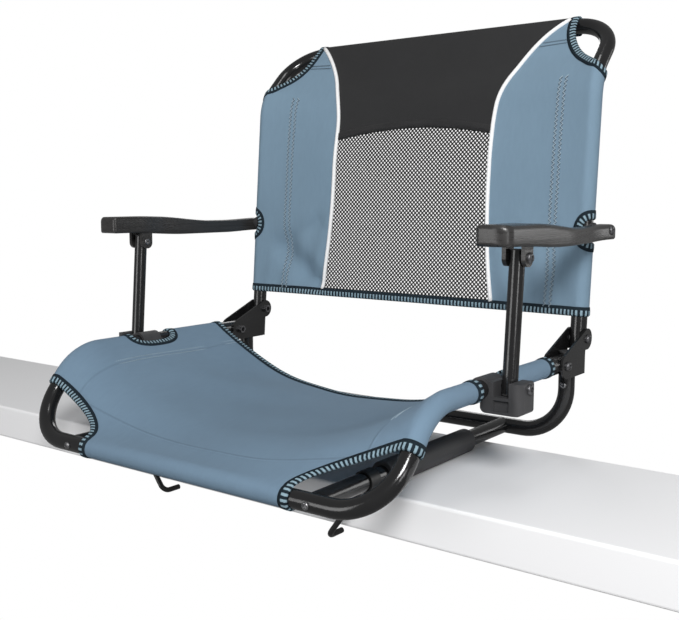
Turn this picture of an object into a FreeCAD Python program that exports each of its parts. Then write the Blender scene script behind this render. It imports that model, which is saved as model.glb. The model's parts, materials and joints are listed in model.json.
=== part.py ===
import FreeCAD, Part
import math
import os
from FreeCAD import Vector

os.makedirs("parts", exist_ok=True)

# All sizes in millimetres. X runs across the seat (right is +X), Y from the front to the rear, Z up.
# While the pieces are made, Y is 0 on the front bar's axis and Z is 0 on the bench that carries the feet.

# Tubes
tube_d = 19.05
tube_wall = 1.2
post_d = 15.9
post_wall = 1.2
tube_r = tube_d / 2
post_r = post_d / 2

# Seat frame: one bent tube, low across the front and level along both sides
rail_x = 255.0
rail_z = 102.0
foot_pad = 3.5
base_z = tube_r + foot_pad
front_slope = math.radians(52.0)
front_corner_r = 58.0
rail_bend_r = 70.0

# Rear base frame and runners
leg_y = 377.0
leg_corner_r = 55.0
leg_top_z = 112.0
runner_x = 174.0
joint_gap = 0.3
foot_front_y = 113.0
foot_rear_y = 283.0
foot_flat = 8.0

# Back frame: an upside-down U that leans back and is bent further back at the top
recline = math.radians(4.5)
hinge_y = 406.5
hinge_z = 125.0
back_end_below_hinge = 39.0
back_bend_height = 311.0
top_slope = math.radians(45.0)
top_run = 100.0
back_bend_r = 70.0
back_corner_r = 55.0

# Hinge plates, bolts and stops
plate_t = 2.5
plate_gap = 0.3
lower_bolt_y = 351.0
lower_bolt_z = 100.0
pivot_end_r = 12.5
lower_end_r = 15.0
plate_rear_y = 400.0
bolt_d = 6.0
bolt_fit = 0.05
head_d = 11.0
head_h = 3.6
nut_d = 10.0
nut_h = 5.0
bush_wall = 1.5
stop_d = 12.0
stop_drop = 31.0
small_screw_d = 4.0
small_head_d = 8.0
small_head_h = 2.4
leg_screw_z = 74.0
plug_length = 14.0
plug_fit = 0.1
cap_rim = 1.5

# Armrests, their posts and the sockets on the seat rails; back, posts and arms form a parallelogram
link_length = 129.0
post_x = 278.0
post_pivot_y = 186.0
post_pivot_z = 104.4
post_end = 7.0
ear_t = 4.5
ear_gap = 0.4
ear_half_width = 11.0
ear_drop = 10.5
ear_corner_r = 9.0
open_pivot_gap = 0.3
arm_inner_x = 267.5
arm_paddle_x = 261.5
arm_outer_x = 297.5
arm_rear_outer_x = 287.0
arm_front_y = 139.0
arm_paddle_end_y = 206.0
arm_rear_past_pivot = 13.0
arm_below_pivot = 12.6
arm_above_pivot = 8.4
arm_wall = 3.2
arm_roof = 5.0
arm_edge_r = 3.0
arm_inner_corner_r = 9.0
arm_outer_corner_r = 12.5
arm_taper_r = 60.0
arm_rear_r = 5.0
arm_waist_r = 12.0
socket_front_y = 167.0
socket_rear_y = 197.0
socket_bottom_z = 79.0
socket_top_z = 111.0
socket_outer_x = 299.0
socket_corner_r = 9.0
socket_edge_r = 4.0
socket_saddle_r = 12.6
socket_swing_gap = 1.2

# Bench hooks
hook_wire_d = 6.0
hook_y = 88.0
hook_lean = math.radians(36.0)
hook_drop = 59.0
hook_tip = 24.0
hook_bend_r = 9.0
collar_t = 1.5
collar_width = 16.0

# Fabric
cloth_t = 1.2
sleeve_gap = 0.3
seat_sag = 66.0
seat_rear_y = 318.0
front_cloth_x = 152.0
corner_cut_y = 42.0
socket_cut_front_y = 154.0
socket_cut_rear_y = 217.0
socket_cut_depth = 17.0
hem_z = 154.5
sleeve_above_hinge = 39.0
top_cloth_x = 197.0
side_cloth_top_z = 446.0
arm_cut_r = 21.0
piping_x = 124.0
arch_edge_z = 372.0
arch_rise = 13.0
seam_gap = 0.2

# Places worked out from the sizes above
sleeve_r = tube_r + sleeve_gap + cloth_t
rail_bend_y = (rail_z - base_z) / math.tan(front_slope)
rail_end_y = leg_y - tube_r - joint_gap
link_dy = link_length * math.sin(recline)
link_dz = link_length * math.cos(recline)
arm_pivot_y = hinge_y + link_dy
arm_pivot_z = hinge_z + link_dz
ear_pivot_y = post_pivot_y + link_dy
ear_pivot_z = post_pivot_z + link_dz
arm_bottom_z = arm_pivot_z - arm_below_pivot
arm_top_z = arm_pivot_z + arm_above_pivot
plate_inner = tube_r + plate_gap
plate_outer = plate_inner + plate_t
sides = {"left": -1, "right": 1}


def along_back(height):
    """Point on the back tube's axis in the side view, by distance up from the hinge."""
    return Vector(0, hinge_y + height * math.sin(recline), hinge_z + height * math.cos(recline))


back_bend = along_back(back_bend_height)
top_bar = back_bend + Vector(0, top_run * math.sin(top_slope), top_run * math.cos(top_slope))
hem_height = (hem_z - hinge_z) / math.cos(recline)


def unit(vector):
    return Vector(vector).normalize()


def corner(before, point, after, radius):
    """Start, middle and end of the arc that rounds one corner."""
    back = unit(before - point)
    ahead = unit(after - point)
    half = back.getAngle(ahead) / 2
    reach = radius / math.tan(half)
    bisector = unit(back + ahead)
    middle = point + bisector * (radius / math.sin(half) - radius)
    return point + back * reach, middle, point + ahead * reach


def path_segments(points, radii):
    """Straight runs and tangent arcs through the points, as pairs and triples of points."""
    segments = []
    here = points[0]
    for index, radius in enumerate(radii, start=1):
        start, middle, end = corner(points[index - 1], points[index], points[index + 1], radius)
        segments.append((here, start))
        segments.append((start, middle, end))
        here = end
    segments.append((here, points[-1]))
    return segments


def rod(points, radii, diameter):
    """Round bar along straight runs and tangent arcs."""
    pieces = []
    for segment in path_segments(points, radii):
        if len(segment) == 2:
            run = segment[1] - segment[0]
            pieces.append(Part.makeCylinder(diameter / 2, run.Length, segment[0], run))
            continue
        arc = Part.Arc(*segment).toShape()
        tangent = arc.tangentAt(arc.FirstParameter)
        disc = Part.Face(Part.Wire(Part.makeCircle(diameter / 2, segment[0], tangent)))
        turn = math.degrees(arc.LastParameter - arc.FirstParameter)
        pieces.append(disc.revolve(arc.Curve.Center, arc.Curve.Axis, turn))
    if len(pieces) == 1:
        return pieces[0]
    return pieces[0].multiFuse(pieces[1:]).removeSplitter()


def tube(points, radii, diameter, wall):
    return rod(points, radii, diameter).cut(rod(points, radii, diameter - 2 * wall))


def outline(points, radii):
    """Face inside a closed outline with rounded corners; radius 0 keeps a corner sharp."""
    count = len(points)
    ends = []
    for index in range(count):
        before = points[index - 1]
        after = points[(index + 1) % count]
        if radii[index] > 0:
            ends.append(corner(before, points[index], after, radii[index]))
        else:
            ends.append((points[index], None, points[index]))
    edges = []
    for index in range(count):
        start, middle, end = ends[index]
        if middle is not None:
            edges.append(Part.Arc(start, middle, end).toShape())
        following = ends[(index + 1) % count][0]
        if end.distanceToPoint(following) > 1e-6:
            edges.append(Part.LineSegment(end, following).toShape())
    return Part.Face(Part.Wire(edges))


def box(low, high):
    return Part.makeBox(high[0] - low[0], high[1] - low[1], high[2] - low[2], Vector(*low))


def cylinder_x(start_x, end_x, y, z, diameter):
    return Part.makeCylinder(diameter / 2, end_x - start_x, Vector(start_x, y, z), Vector(1, 0, 0))


def screw(start, end, diameter, crown_d, crown_h):
    """Pan-head screw: shank from start to end, with the rounded head before the start."""
    along = unit(end - start)
    shank = Part.makeCylinder(diameter / 2, (end - start).Length, start, along)
    head = Part.makeCylinder(crown_d / 2, crown_h, start, along * -1)
    top = start - along * crown_h
    rim = [edge for edge in head.Edges if edge.Curve.TypeId == "Part::GeomCircle"
           and edge.CenterOfMass.distanceToPoint(top) < crown_h / 2]
    return shank.fuse(head.makeFillet(crown_h * 0.6, rim)).removeSplitter()


def mirrored(shape):
    return shape.mirror(Vector(0, 0, 0), Vector(1, 0, 0))


def on_side(shape, sign):
    return shape if sign > 0 else mirrored(shape)


def both(shape):
    return Part.makeCompound([mirrored(shape), shape])


nodes = {}


# Seat frame, rear base frame and runners
def seat_path(rear_y):
    front = [Vector(rail_x, rear_y, rail_z), Vector(rail_x, rail_bend_y, rail_z), Vector(rail_x, 0, base_z)]
    return front + [Vector(-p.x, p.y, p.z) for p in reversed(front)]


seat_radii = [rail_bend_r, front_corner_r, front_corner_r, rail_bend_r]
front_screw_z = base_z
front_screw = screw(Vector(runner_x, -tube_r, front_screw_z),
                    Vector(runner_x, tube_r + plug_length, front_screw_z),
                    small_screw_d, small_head_d, small_head_h)
front_screw_hole = Part.makeCylinder(small_screw_d / 2 + bolt_fit, 4 * tube_d,
                                     Vector(runner_x, -2 * tube_d, front_screw_z), Vector(0, 1, 0))
lower_bolt_hole = cylinder_x(rail_x - tube_d, rail_x + tube_d, lower_bolt_y, lower_bolt_z,
                             bolt_d + 2 * bolt_fit)
seat_frame = tube(seat_path(rail_end_y), seat_radii, tube_d, tube_wall)
nodes["seat_frame"] = seat_frame.cut(Part.makeCompound([both(front_screw_hole), both(lower_bolt_hole)]))

leg_path = [Vector(-rail_x, leg_y, leg_top_z), Vector(-rail_x, leg_y, base_z),
            Vector(rail_x, leg_y, base_z), Vector(rail_x, leg_y, leg_top_z)]
leg_screw = screw(Vector(rail_x, leg_y - tube_r, leg_screw_z), Vector(rail_x, leg_y + tube_r, leg_screw_z),
                  small_screw_d, small_head_d, small_head_h)
leg_screw_hole = Part.makeCylinder(small_screw_d / 2 + bolt_fit, 2 * tube_d,
                                   Vector(rail_x, leg_y - tube_d, leg_screw_z), Vector(0, 1, 0))
rear_base = tube(leg_path, [leg_corner_r, leg_corner_r], tube_d, tube_wall)
nodes["rear_base_frame"] = rear_base.cut(both(leg_screw_hole))

runner_axis = [Vector(runner_x, 0, base_z), Vector(runner_x, leg_y, base_z)]
front_bar_room = rod([Vector(-rail_x, 0, base_z), Vector(rail_x, 0, base_z)], [], tube_d + 2 * bolt_fit)
cross_tube_room = rod([Vector(-rail_x, leg_y, base_z), Vector(rail_x, leg_y, base_z)], [],
                      tube_d + 2 * bolt_fit)
runner = tube(runner_axis, [], tube_d, tube_wall).cut(front_bar_room).cut(cross_tube_room)
runner = max(runner.Solids, key=lambda solid: solid.Volume)
insert_d = tube_d - 2 * tube_wall - 2 * plug_fit
runner_insert = Part.makeCylinder(insert_d / 2, plug_length + tube_r, Vector(runner_x, 0, base_z),
                                  Vector(0, 1, 0))
runner_insert = runner_insert.cut(front_bar_room).cut(front_screw_hole)
for side, sign in sides.items():
    nodes[side + "_runner"] = on_side(runner, sign)
nodes["runner_inserts"] = both(runner_insert)
nodes["front_bar_screws"] = both(front_screw)
nodes["leg_screws"] = both(leg_screw)


def foot_sleeve():
    """Moulded sleeve round a runner, cut flat where it stands on the bench."""
    line = [Vector(runner_x, foot_front_y, base_z), Vector(runner_x, foot_rear_y, base_z)]
    outer_r = math.hypot(base_z, foot_flat / 2)
    sleeve = rod(line, [], 2 * outer_r)
    rims = [edge for edge in sleeve.Edges if edge.BoundBox.YLength < foot_pad]
    sleeve = sleeve.makeFillet(foot_pad / 3, rims)
    above_bench = box((runner_x - 2 * outer_r, 0, 0), (runner_x + 2 * outer_r, leg_y, 2 * outer_r))
    return sleeve.common(above_bench).cut(rod(runner_axis, [], tube_d + 2 * bolt_fit))


for side, sign in sides.items():
    nodes[side + "_foot_sleeve"] = on_side(foot_sleeve(), sign)


# Hinge plates with their bolts, stops and plugs
def tangent_points():
    """Ends of the straight upper edge that touches both rounded ends of a hinge plate."""
    run = Vector(0, hinge_y - lower_bolt_y, hinge_z - lower_bolt_z)
    ahead = math.atan2(run.z, run.y)
    lean = math.asin((lower_end_r - pivot_end_r) / run.Length)
    angle = ahead + math.pi / 2 - lean
    normal = Vector(0, math.cos(angle), math.sin(angle))
    low = Vector(0, lower_bolt_y, lower_bolt_z) + normal * lower_end_r
    high = Vector(0, hinge_y, hinge_z) + normal * pivot_end_r
    return low, high


def hinge_plate(start_x):
    low, high = tangent_points()
    bottom_z = lower_bolt_z - lower_end_r
    web = Part.Face(Part.makePolygon([low, high, Vector(0, hinge_y, hinge_z - pivot_end_r),
                                      Vector(0, plate_rear_y, hinge_z - pivot_end_r),
                                      Vector(0, plate_rear_y, bottom_z),
                                      Vector(0, lower_bolt_y, bottom_z), low]))
    web = web.extrude(Vector(plate_t, 0, 0))
    web.translate(Vector(start_x, 0, 0))
    end_x = start_x + plate_t
    ends = [cylinder_x(start_x, end_x, hinge_y, hinge_z, 2 * pivot_end_r),
            cylinder_x(start_x, end_x, lower_bolt_y, lower_bolt_z, 2 * lower_end_r)]
    plate = web.multiFuse(ends).removeSplitter()
    for y, z in ((hinge_y, hinge_z), (lower_bolt_y, lower_bolt_z)):
        plate = plate.cut(cylinder_x(start_x - plate_t, end_x + plate_t, y, z, bolt_d + 2 * bolt_fit))
    return plate


def hex_nut(start_x, y, z):
    corners = [Vector(start_x, y + nut_d / 2 / math.cos(math.pi / 6) * math.cos(turn * math.pi / 3),
                      z + nut_d / 2 / math.cos(math.pi / 6) * math.sin(turn * math.pi / 3))
               for turn in range(6)]
    nut = outline(corners, [0] * 6).extrude(Vector(nut_h, 0, 0))
    return nut.cut(cylinder_x(start_x - nut_h, start_x + 2 * nut_h, y, z, bolt_d + 2 * bolt_fit))


def hinge_bolt(y, z):
    return screw(Vector(rail_x + plate_outer, y, z), Vector(rail_x - plate_outer - nut_h, y, z),
                 bolt_d, head_d, head_h)


for side, sign in sides.items():
    nodes[side + "_outer_hinge_plate"] = on_side(hinge_plate(rail_x + plate_inner), sign)
    nodes[side + "_inner_hinge_plate"] = on_side(hinge_plate(rail_x - plate_outer), sign)
nut_x = rail_x - plate_outer - nut_h
nodes["lower_hinge_bolts"] = both(hinge_bolt(lower_bolt_y, lower_bolt_z))
nodes["lower_hinge_nuts"] = both(hex_nut(nut_x, lower_bolt_y, lower_bolt_z))
nodes["back_pivot_bolts"] = both(hinge_bolt(hinge_y, hinge_z))
nodes["back_pivot_nuts"] = both(hex_nut(nut_x, hinge_y, hinge_z))

back_tube_line = [along_back(-2 * back_end_below_hinge) + Vector(rail_x, 0, 0),
                  back_bend + Vector(rail_x, 0, 0)]
stop_z = hinge_z - stop_drop
back_stop = Part.makeCylinder(stop_d / 2, hinge_y - leg_y, Vector(rail_x, leg_y, stop_z), Vector(0, 1, 0))
back_stop = back_stop.cut(rod(leg_path[2:], [], tube_d + 2 * bolt_fit))
back_stop = back_stop.cut(rod(back_tube_line, [], tube_d + 2 * joint_gap))
back_stop = min(back_stop.Solids, key=lambda solid: solid.CenterOfMass.y)
for side, sign in sides.items():
    nodes[side + "_back_stop"] = on_side(back_stop, sign)


def end_plug(end, inward):
    """Push-in cap with a thin rim that closes the end of a tube."""
    bore = Part.makeCylinder(insert_d / 2, plug_length, end, inward)
    rim = Part.makeCylinder(tube_r, cap_rim, end, inward * -1)
    return bore.fuse(rim).removeSplitter()


leg_plug = end_plug(Vector(rail_x, leg_y, leg_top_z), Vector(0, 0, -1))
back_low = along_back(-back_end_below_hinge) + Vector(rail_x, 0, 0)
back_plug = end_plug(back_low, unit(along_back(1) - along_back(0)))
nodes["leg_top_plugs"] = both(leg_plug)
nodes["back_tube_plugs"] = both(back_plug)

# Back frame with its pivot bushes and the armrest pivots
half_back = [back_low, back_bend + Vector(rail_x, 0, 0), top_bar + Vector(rail_x, 0, 0)]
back_path = half_back + [Vector(-p.x, p.y, p.z) for p in reversed(half_back)]
back_radii = [back_bend_r, back_corner_r, back_corner_r, back_bend_r]
bush_d = bolt_d + 2 * bolt_fit + 2 * bush_wall
bush_hole = cylinder_x(rail_x - tube_d, rail_x + tube_d, hinge_y, hinge_z, bush_d + 2 * bolt_fit)
arm_bolt_hole = cylinder_x(rail_x - tube_d, arm_outer_x + tube_d, arm_pivot_y, arm_pivot_z,
                           bolt_d + 2 * bolt_fit)
back_frame = tube(back_path, back_radii, tube_d, tube_wall)
nodes["back_frame"] = back_frame.cut(both(bush_hole)).cut(both(arm_bolt_hole))
bush = cylinder_x(rail_x - tube_r, rail_x + tube_r, hinge_y, hinge_z, bush_d)
bush = bush.cut(cylinder_x(rail_x - tube_d, rail_x + tube_d, hinge_y, hinge_z, bolt_d + 2 * bolt_fit))
nodes["back_pivot_bushes"] = both(bush)

washer = cylinder_x(rail_x, arm_inner_x - joint_gap, arm_pivot_y, arm_pivot_z, 1.6 * head_d)
washer = washer.cut(rod(back_tube_line, [], tube_d + 2 * bolt_fit)).cut(arm_bolt_hole)
nodes["arm_pivot_washers"] = both(washer)
arm_bolt = screw(Vector(arm_rear_outer_x + joint_gap, arm_pivot_y, arm_pivot_z),
                 Vector(rail_x - tube_r, arm_pivot_y, arm_pivot_z), bolt_d, head_d, head_h)
nodes["arm_pivot_bolts"] = both(arm_bolt)

# Posts, their pins and the sockets clamped on the seat rails
post_low = Vector(post_x, post_pivot_y - post_end * math.sin(recline),
                  post_pivot_z - post_end * math.cos(recline))
post_high = Vector(post_x, ear_pivot_y + post_end * math.sin(recline),
                   ear_pivot_z + post_end * math.cos(recline))
ear_inner_x = post_x - post_r - ear_gap
ear_outer_x = post_x + post_r + ear_gap
socket_slot_x = post_r + ear_gap
swing_r = math.hypot(post_end + cap_rim, post_r) + socket_swing_gap
low_pin_hole = cylinder_x(post_x - tube_d, post_x + tube_d, post_pivot_y, post_pivot_z, bolt_d + 2 * bolt_fit)
top_pin_hole = cylinder_x(post_x - tube_d, post_x + tube_d, ear_pivot_y, ear_pivot_z,
                          bolt_d + 2 * open_pivot_gap)
post = tube([post_low, post_high], [], post_d, post_wall).cut(low_pin_hole).cut(top_pin_hole)
post_bore_d = post_d - 2 * post_wall - 2 * plug_fit
post_up = unit(post_high - post_low)


def post_plug(end, inward, hole):
    bore = Part.makeCylinder(post_bore_d / 2, plug_length, end, inward)
    rim = Part.makeCylinder(post_r, cap_rim, end, inward * -1)
    return bore.fuse(rim).removeSplitter().cut(hole)


post_plugs = Part.makeCompound([post_plug(post_low, post_up, low_pin_hole),
                                post_plug(post_high, post_up * -1, top_pin_hole)])


def arm_socket():
    """Clamp block: a saddle round the rail beside a slot that opens upward and forward for the post."""
    length = socket_rear_y - socket_front_y
    saddle = Part.makeCylinder(socket_saddle_r, length, Vector(rail_x, socket_front_y, rail_z),
                               Vector(0, 1, 0))
    corners = [Vector(rail_x, socket_front_y, socket_bottom_z),
               Vector(socket_outer_x, socket_front_y, socket_bottom_z),
               Vector(socket_outer_x, socket_front_y, socket_top_z),
               Vector(rail_x, socket_front_y, socket_top_z)]
    edge_radii = [1.5 * socket_edge_r, socket_edge_r, 0.75 * socket_edge_r, 0]
    body = outline(corners, edge_radii).extrude(Vector(0, length, 0))
    plan = [Vector(rail_x, socket_front_y, 0), Vector(socket_outer_x, socket_front_y, 0),
            Vector(socket_outer_x, socket_rear_y, 0), Vector(rail_x, socket_rear_y, 0)]
    body = body.common(outline(plan, [0, socket_corner_r, 0, 0]).extrude(Vector(0, 0, 2 * rail_z)))
    block = body.fuse(saddle).removeSplitter()
    block = block.cut(rod([Vector(rail_x, 0, rail_z), Vector(rail_x, rail_end_y, rail_z)], [],
                          tube_d + 2 * bolt_fit))
    slot_floor = post_pivot_z - post_r - joint_gap
    slot = box((post_x - socket_slot_x, socket_front_y - 1, slot_floor),
               (post_x + socket_slot_x, post_pivot_y, socket_top_z + 1))
    turning = cylinder_x(post_x - socket_slot_x, post_x + socket_slot_x, post_pivot_y, post_pivot_z,
                         2 * swing_r)
    mouth = box((post_x - socket_slot_x, post_pivot_y, post_pivot_z),
                (post_x + socket_slot_x, post_pivot_y + swing_r, socket_top_z + 1))
    recess = box((post_x - socket_slot_x, socket_front_y - 1, socket_bottom_z + 3),
                 (post_x + socket_slot_x, socket_front_y + 3, slot_floor - 3))
    block = block.cut(slot).cut(turning).cut(mouth).cut(recess)
    return block.cut(cylinder_x(post_x - socket_slot_x - ear_t, socket_outer_x + 1, post_pivot_y,
                                post_pivot_z, bolt_d + 2 * bolt_fit))


socket_pin = screw(Vector(socket_outer_x, post_pivot_y, post_pivot_z),
                   Vector(post_x - socket_slot_x - ear_t + bolt_fit, post_pivot_y, post_pivot_z),
                   bolt_d, head_d, head_h)
nodes["socket_pins"] = both(socket_pin)
for side, sign in sides.items():
    nodes[side + "_arm_socket"] = on_side(arm_socket(), sign)
    nodes[side + "_arm_post"] = on_side(post, sign)
    nodes[side + "_post_plugs"] = on_side(post_plugs, sign)


# Armrests: moulded shells open underneath, with two ears that hold the post's top
def armrest():
    rear_y = arm_pivot_y + arm_rear_past_pivot
    low = arm_bottom_z
    taper_y = (arm_front_y + rear_y) / 2
    plan = [Vector(arm_paddle_x, arm_front_y, low), Vector(arm_outer_x, arm_front_y, low),
            Vector(arm_outer_x, taper_y, low), Vector(arm_rear_outer_x, rear_y, low),
            Vector(arm_inner_x, rear_y, low), Vector(arm_inner_x, arm_paddle_end_y, low),
            Vector(arm_paddle_x, arm_paddle_end_y - 2 * (arm_inner_x - arm_paddle_x), low)]
    radii = [arm_inner_corner_r, arm_outer_corner_r, arm_taper_r, arm_rear_r, arm_rear_r, arm_waist_r,
             arm_waist_r]
    body = outline(plan, radii).extrude(Vector(0, 0, arm_top_z - low))
    rim = [edge for edge in body.Edges if edge.BoundBox.ZMin > arm_top_z - arm_edge_r]
    body = body.makeFillet(arm_edge_r, rim)
    hollow = box((arm_inner_x + arm_wall, arm_front_y + 3 * arm_wall, low - 1),
                 (arm_outer_x - arm_wall, taper_y, arm_top_z - arm_roof))
    rear_hollow = box((arm_inner_x + arm_wall, taper_y - 1, low - 1),
                      (arm_rear_outer_x - arm_wall, arm_pivot_y - 2 * head_d, arm_top_z - arm_roof))
    body = body.cut(hollow).cut(rear_hollow)
    for start in (ear_inner_x - ear_t, ear_outer_x):
        ear = [Vector(start, ear_pivot_y - ear_half_width, ear_pivot_z - ear_drop),
               Vector(start, ear_pivot_y + ear_half_width, ear_pivot_z - ear_drop),
               Vector(start, ear_pivot_y + ear_half_width, arm_top_z - arm_roof),
               Vector(start, ear_pivot_y - ear_half_width, arm_top_z - arm_roof)]
        body = body.fuse(outline(ear, [ear_corner_r, ear_corner_r, 0, 0]).extrude(Vector(ear_t, 0, 0)))
    post_room = box((ear_inner_x, ear_pivot_y - swing_r, ear_pivot_z - 2 * ear_drop),
                    (ear_outer_x, ear_pivot_y + swing_r, ear_pivot_z + swing_r))
    body = body.removeSplitter().cut(post_room)
    ear_hole = cylinder_x(ear_inner_x - 2 * ear_t, ear_outer_x + 2 * ear_t, ear_pivot_y, ear_pivot_z,
                          bolt_d + 2 * bolt_fit)
    spot_face = cylinder_x(arm_rear_outer_x, arm_outer_x, arm_pivot_y, arm_pivot_z, head_d + 4 * joint_gap)
    return body.cut(ear_hole).cut(arm_bolt_hole).cut(spot_face)


ear_pin = screw(Vector(ear_outer_x + ear_t, ear_pivot_y, ear_pivot_z),
                Vector(ear_inner_x - ear_t, ear_pivot_y, ear_pivot_z), bolt_d, head_d, head_h)
for side, sign in sides.items():
    nodes[side + "_armrest"] = on_side(armrest(), sign)
    nodes[side + "_ear_pin"] = on_side(ear_pin, sign)


# Bench hooks: a band round the runner carries a bent wire that reaches under the bench's front edge
def bench_hook():
    inward = Vector(-math.sin(hook_lean), 0, -math.cos(hook_lean))
    eye = Vector(runner_x, hook_y, base_z)
    start = eye + inward * (tube_r + joint_gap + collar_t)
    low_z = -hook_drop + hook_wire_d / 2
    bottom = eye + inward * ((base_z - low_z) / math.cos(hook_lean))
    return rod([start, bottom, bottom + Vector(0, hook_tip, 0)], [hook_bend_r], hook_wire_d)


def hook_collar():
    line = [Vector(runner_x, hook_y - collar_width / 2, base_z),
            Vector(runner_x, hook_y + collar_width / 2, base_z)]
    return tube(line, [], tube_d + 2 * joint_gap + 2 * collar_t, collar_t)


collar_room = rod(runner_axis, [], tube_d + 2 * joint_gap + 2 * collar_t)
for side, sign in sides.items():
    nodes[side + "_hook_collar"] = on_side(hook_collar(), sign)
    nodes[side + "_bench_hook"] = on_side(bench_hook().cut(collar_room), sign)


# Fabric
def cloth_section(half_x, edge, middle, lift):
    """Closed strip across the seat: an arc through both edges and the middle, given the cloth's thickness."""
    upper = [Vector(-half_x, edge.y, edge.z), Vector(0, middle.y, middle.z), Vector(half_x, edge.y, edge.z)]
    lower = [point - lift for point in upper]
    edges = [Part.Arc(*upper).toShape(), Part.LineSegment(upper[2], lower[2]).toShape(),
             Part.Arc(*reversed(lower)).toShape(), Part.LineSegment(lower[0], upper[0]).toShape()]
    return Part.Wire(edges)


def seat_sheet():
    """Seat cloth from the rear edge to the front bar, hanging between the rails."""
    low_z = rail_z - seat_sag
    bar_z = base_z + tube_r + sleeve_gap + cloth_t
    slope_z = (base_z + rail_z) / 2
    lift = Vector(0, 0, cloth_t)
    stations = [(seat_rear_y, rail_z, low_z), ((seat_rear_y + rail_bend_y) / 2, rail_z, low_z),
                (rail_bend_y, rail_z - cloth_t, low_z - cloth_t),
                (rail_bend_y / 2, slope_z, (low_z + bar_z) / 2), (0, bar_z, bar_z - cloth_t / 4)]
    wires = [cloth_section(rail_x, Vector(0, y, edge), Vector(0, y, middle), lift)
             for y, edge, middle in stations]
    return Part.makeLoft(wires, True, False)


def seat_cutters():
    """Openings in the seat cloth: both front corners and the space round each arm socket."""
    reach = Vector(0, 0, 4 * rail_z)
    oval = Part.Ellipse(Vector(rail_x, 0, -rail_z), rail_x - front_cloth_x, corner_cut_y)
    front = Part.Face(Part.Wire(oval.toShape())).extrude(reach)
    low = Vector(rail_x - socket_cut_depth, socket_cut_front_y, -rail_z)
    high = Vector(rail_x + 2 * tube_d, socket_cut_rear_y, -rail_z)
    corners = [low, Vector(high.x, low.y, low.z), high, Vector(low.x, high.y, low.z)]
    beside = outline(corners, [socket_cut_depth * 0.8, 0, 0, socket_cut_depth * 0.8]).extrude(reach)
    return Part.makeCompound([both(front), both(beside)])


cloth_room_d = tube_d + 2 * sleeve_gap + cloth_t
side_sleeve = tube([Vector(rail_x, seat_rear_y, rail_z), Vector(rail_x, rail_bend_y, rail_z),
                    Vector(rail_x, 0, base_z)], [rail_bend_r], 2 * sleeve_r, cloth_t)
front_sleeve = tube([Vector(-front_cloth_x, 0, base_z), Vector(front_cloth_x, 0, base_z)], [],
                    2 * sleeve_r, cloth_t)
seat_room = rod(seat_path(leg_y), seat_radii, cloth_room_d)
seat_cloth = seat_sheet().cut(seat_room)
seat_cloth = seat_cloth.multiFuse([both(side_sleeve), front_sleeve]).cut(seat_cutters())
sides_only = box((-rail_x - sleeve_r - 1, -tube_d, -tube_d), (rail_x + sleeve_r + 1, seat_rear_y, 2 * rail_z))
nodes["seat_sling"] = seat_cloth.common(sides_only)


def back_sheet():
    """Back cloth from the hem up to the top bar, bent back with the frame."""
    low = along_back(hem_height)
    up = unit(back_bend - low)
    slope = unit(top_bar - back_bend)
    behind = Vector(0, up.z, -up.y)
    behind_slope = Vector(0, slope.z, -slope.y)
    bend_shift = (behind + behind_slope) * (cloth_t / (1 + behind.dot(behind_slope)))
    side_view = [low, back_bend, top_bar, top_bar + behind_slope * cloth_t, back_bend + bend_shift,
                 low + behind * cloth_t]
    face = outline(side_view, [0, back_bend_r, 0, 0, back_bend_r - cloth_t, 0])
    face.translate(Vector(-rail_x, 0, 0))
    return face.extrude(Vector(2 * rail_x, 0, 0))


def across(points_low, points_high):
    """Prism through the back cloth between two corners given by X and Z."""
    return box((points_low[0], 0, points_low[1]), (points_high[0], 2 * leg_y, points_high[1]))


back_room = rod(back_path, back_radii, cloth_room_d)
slope_middle = (back_bend + top_bar) / 2
side_line = [point + Vector(rail_x, 0, 0)
             for point in (along_back(sleeve_above_hinge), back_bend, slope_middle)]
above_sleeve = across((rail_x - tube_d, side_cloth_top_z), (rail_x + tube_d, top_bar.z))
back_sleeve = tube(side_line, [back_bend_r], 2 * sleeve_r, cloth_t).cut(above_sleeve)
top_line = [top_bar - Vector(top_cloth_x, 0, 0), top_bar + Vector(top_cloth_x, 0, 0)]
through = Vector(0, 2 * leg_y, 0)
corner_cut = Part.makeCylinder(rail_x - top_cloth_x, through.Length, Vector(rail_x, 0, top_bar.z), through)
arm_cut = Part.makeCylinder(arm_cut_r, through.Length, Vector(rail_x + arm_cut_r / 2, 0, arm_pivot_z),
                            through)
back_cloth = back_sheet().cut(back_room)
back_cloth = back_cloth.cut(both(corner_cut))
top_sleeve = tube(top_line, [], 2 * sleeve_r, cloth_t)
back_cloth = back_cloth.multiFuse([both(back_sleeve), top_sleeve]).cut(both(arm_cut))

arch = [Vector(-piping_x, 0, arch_edge_z), Vector(0, 0, arch_edge_z + arch_rise),
        Vector(piping_x, 0, arch_edge_z)]
mesh_edges = [Part.Arc(*arch).toShape(),
              Part.LineSegment(arch[2], Vector(piping_x, 0, 0)).toShape(),
              Part.LineSegment(Vector(piping_x, 0, 0), Vector(-piping_x, 0, 0)).toShape(),
              Part.LineSegment(Vector(-piping_x, 0, 0), arch[0]).toShape()]
mesh_region = Part.Face(Part.Wire(mesh_edges)).extrude(through)
centre_region = across((-piping_x, 0), (piping_x, top_bar.z - sleeve_r - seam_gap))
side_region = across((-piping_x - seam_gap, 0), (piping_x + seam_gap, top_bar.z - sleeve_r))
nodes["back_mesh_panel"] = back_cloth.common(mesh_region)
nodes["back_top_panel"] = back_cloth.common(centre_region).cut(mesh_region)
nodes["back_sling"] = back_cloth.cut(side_region)

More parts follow.
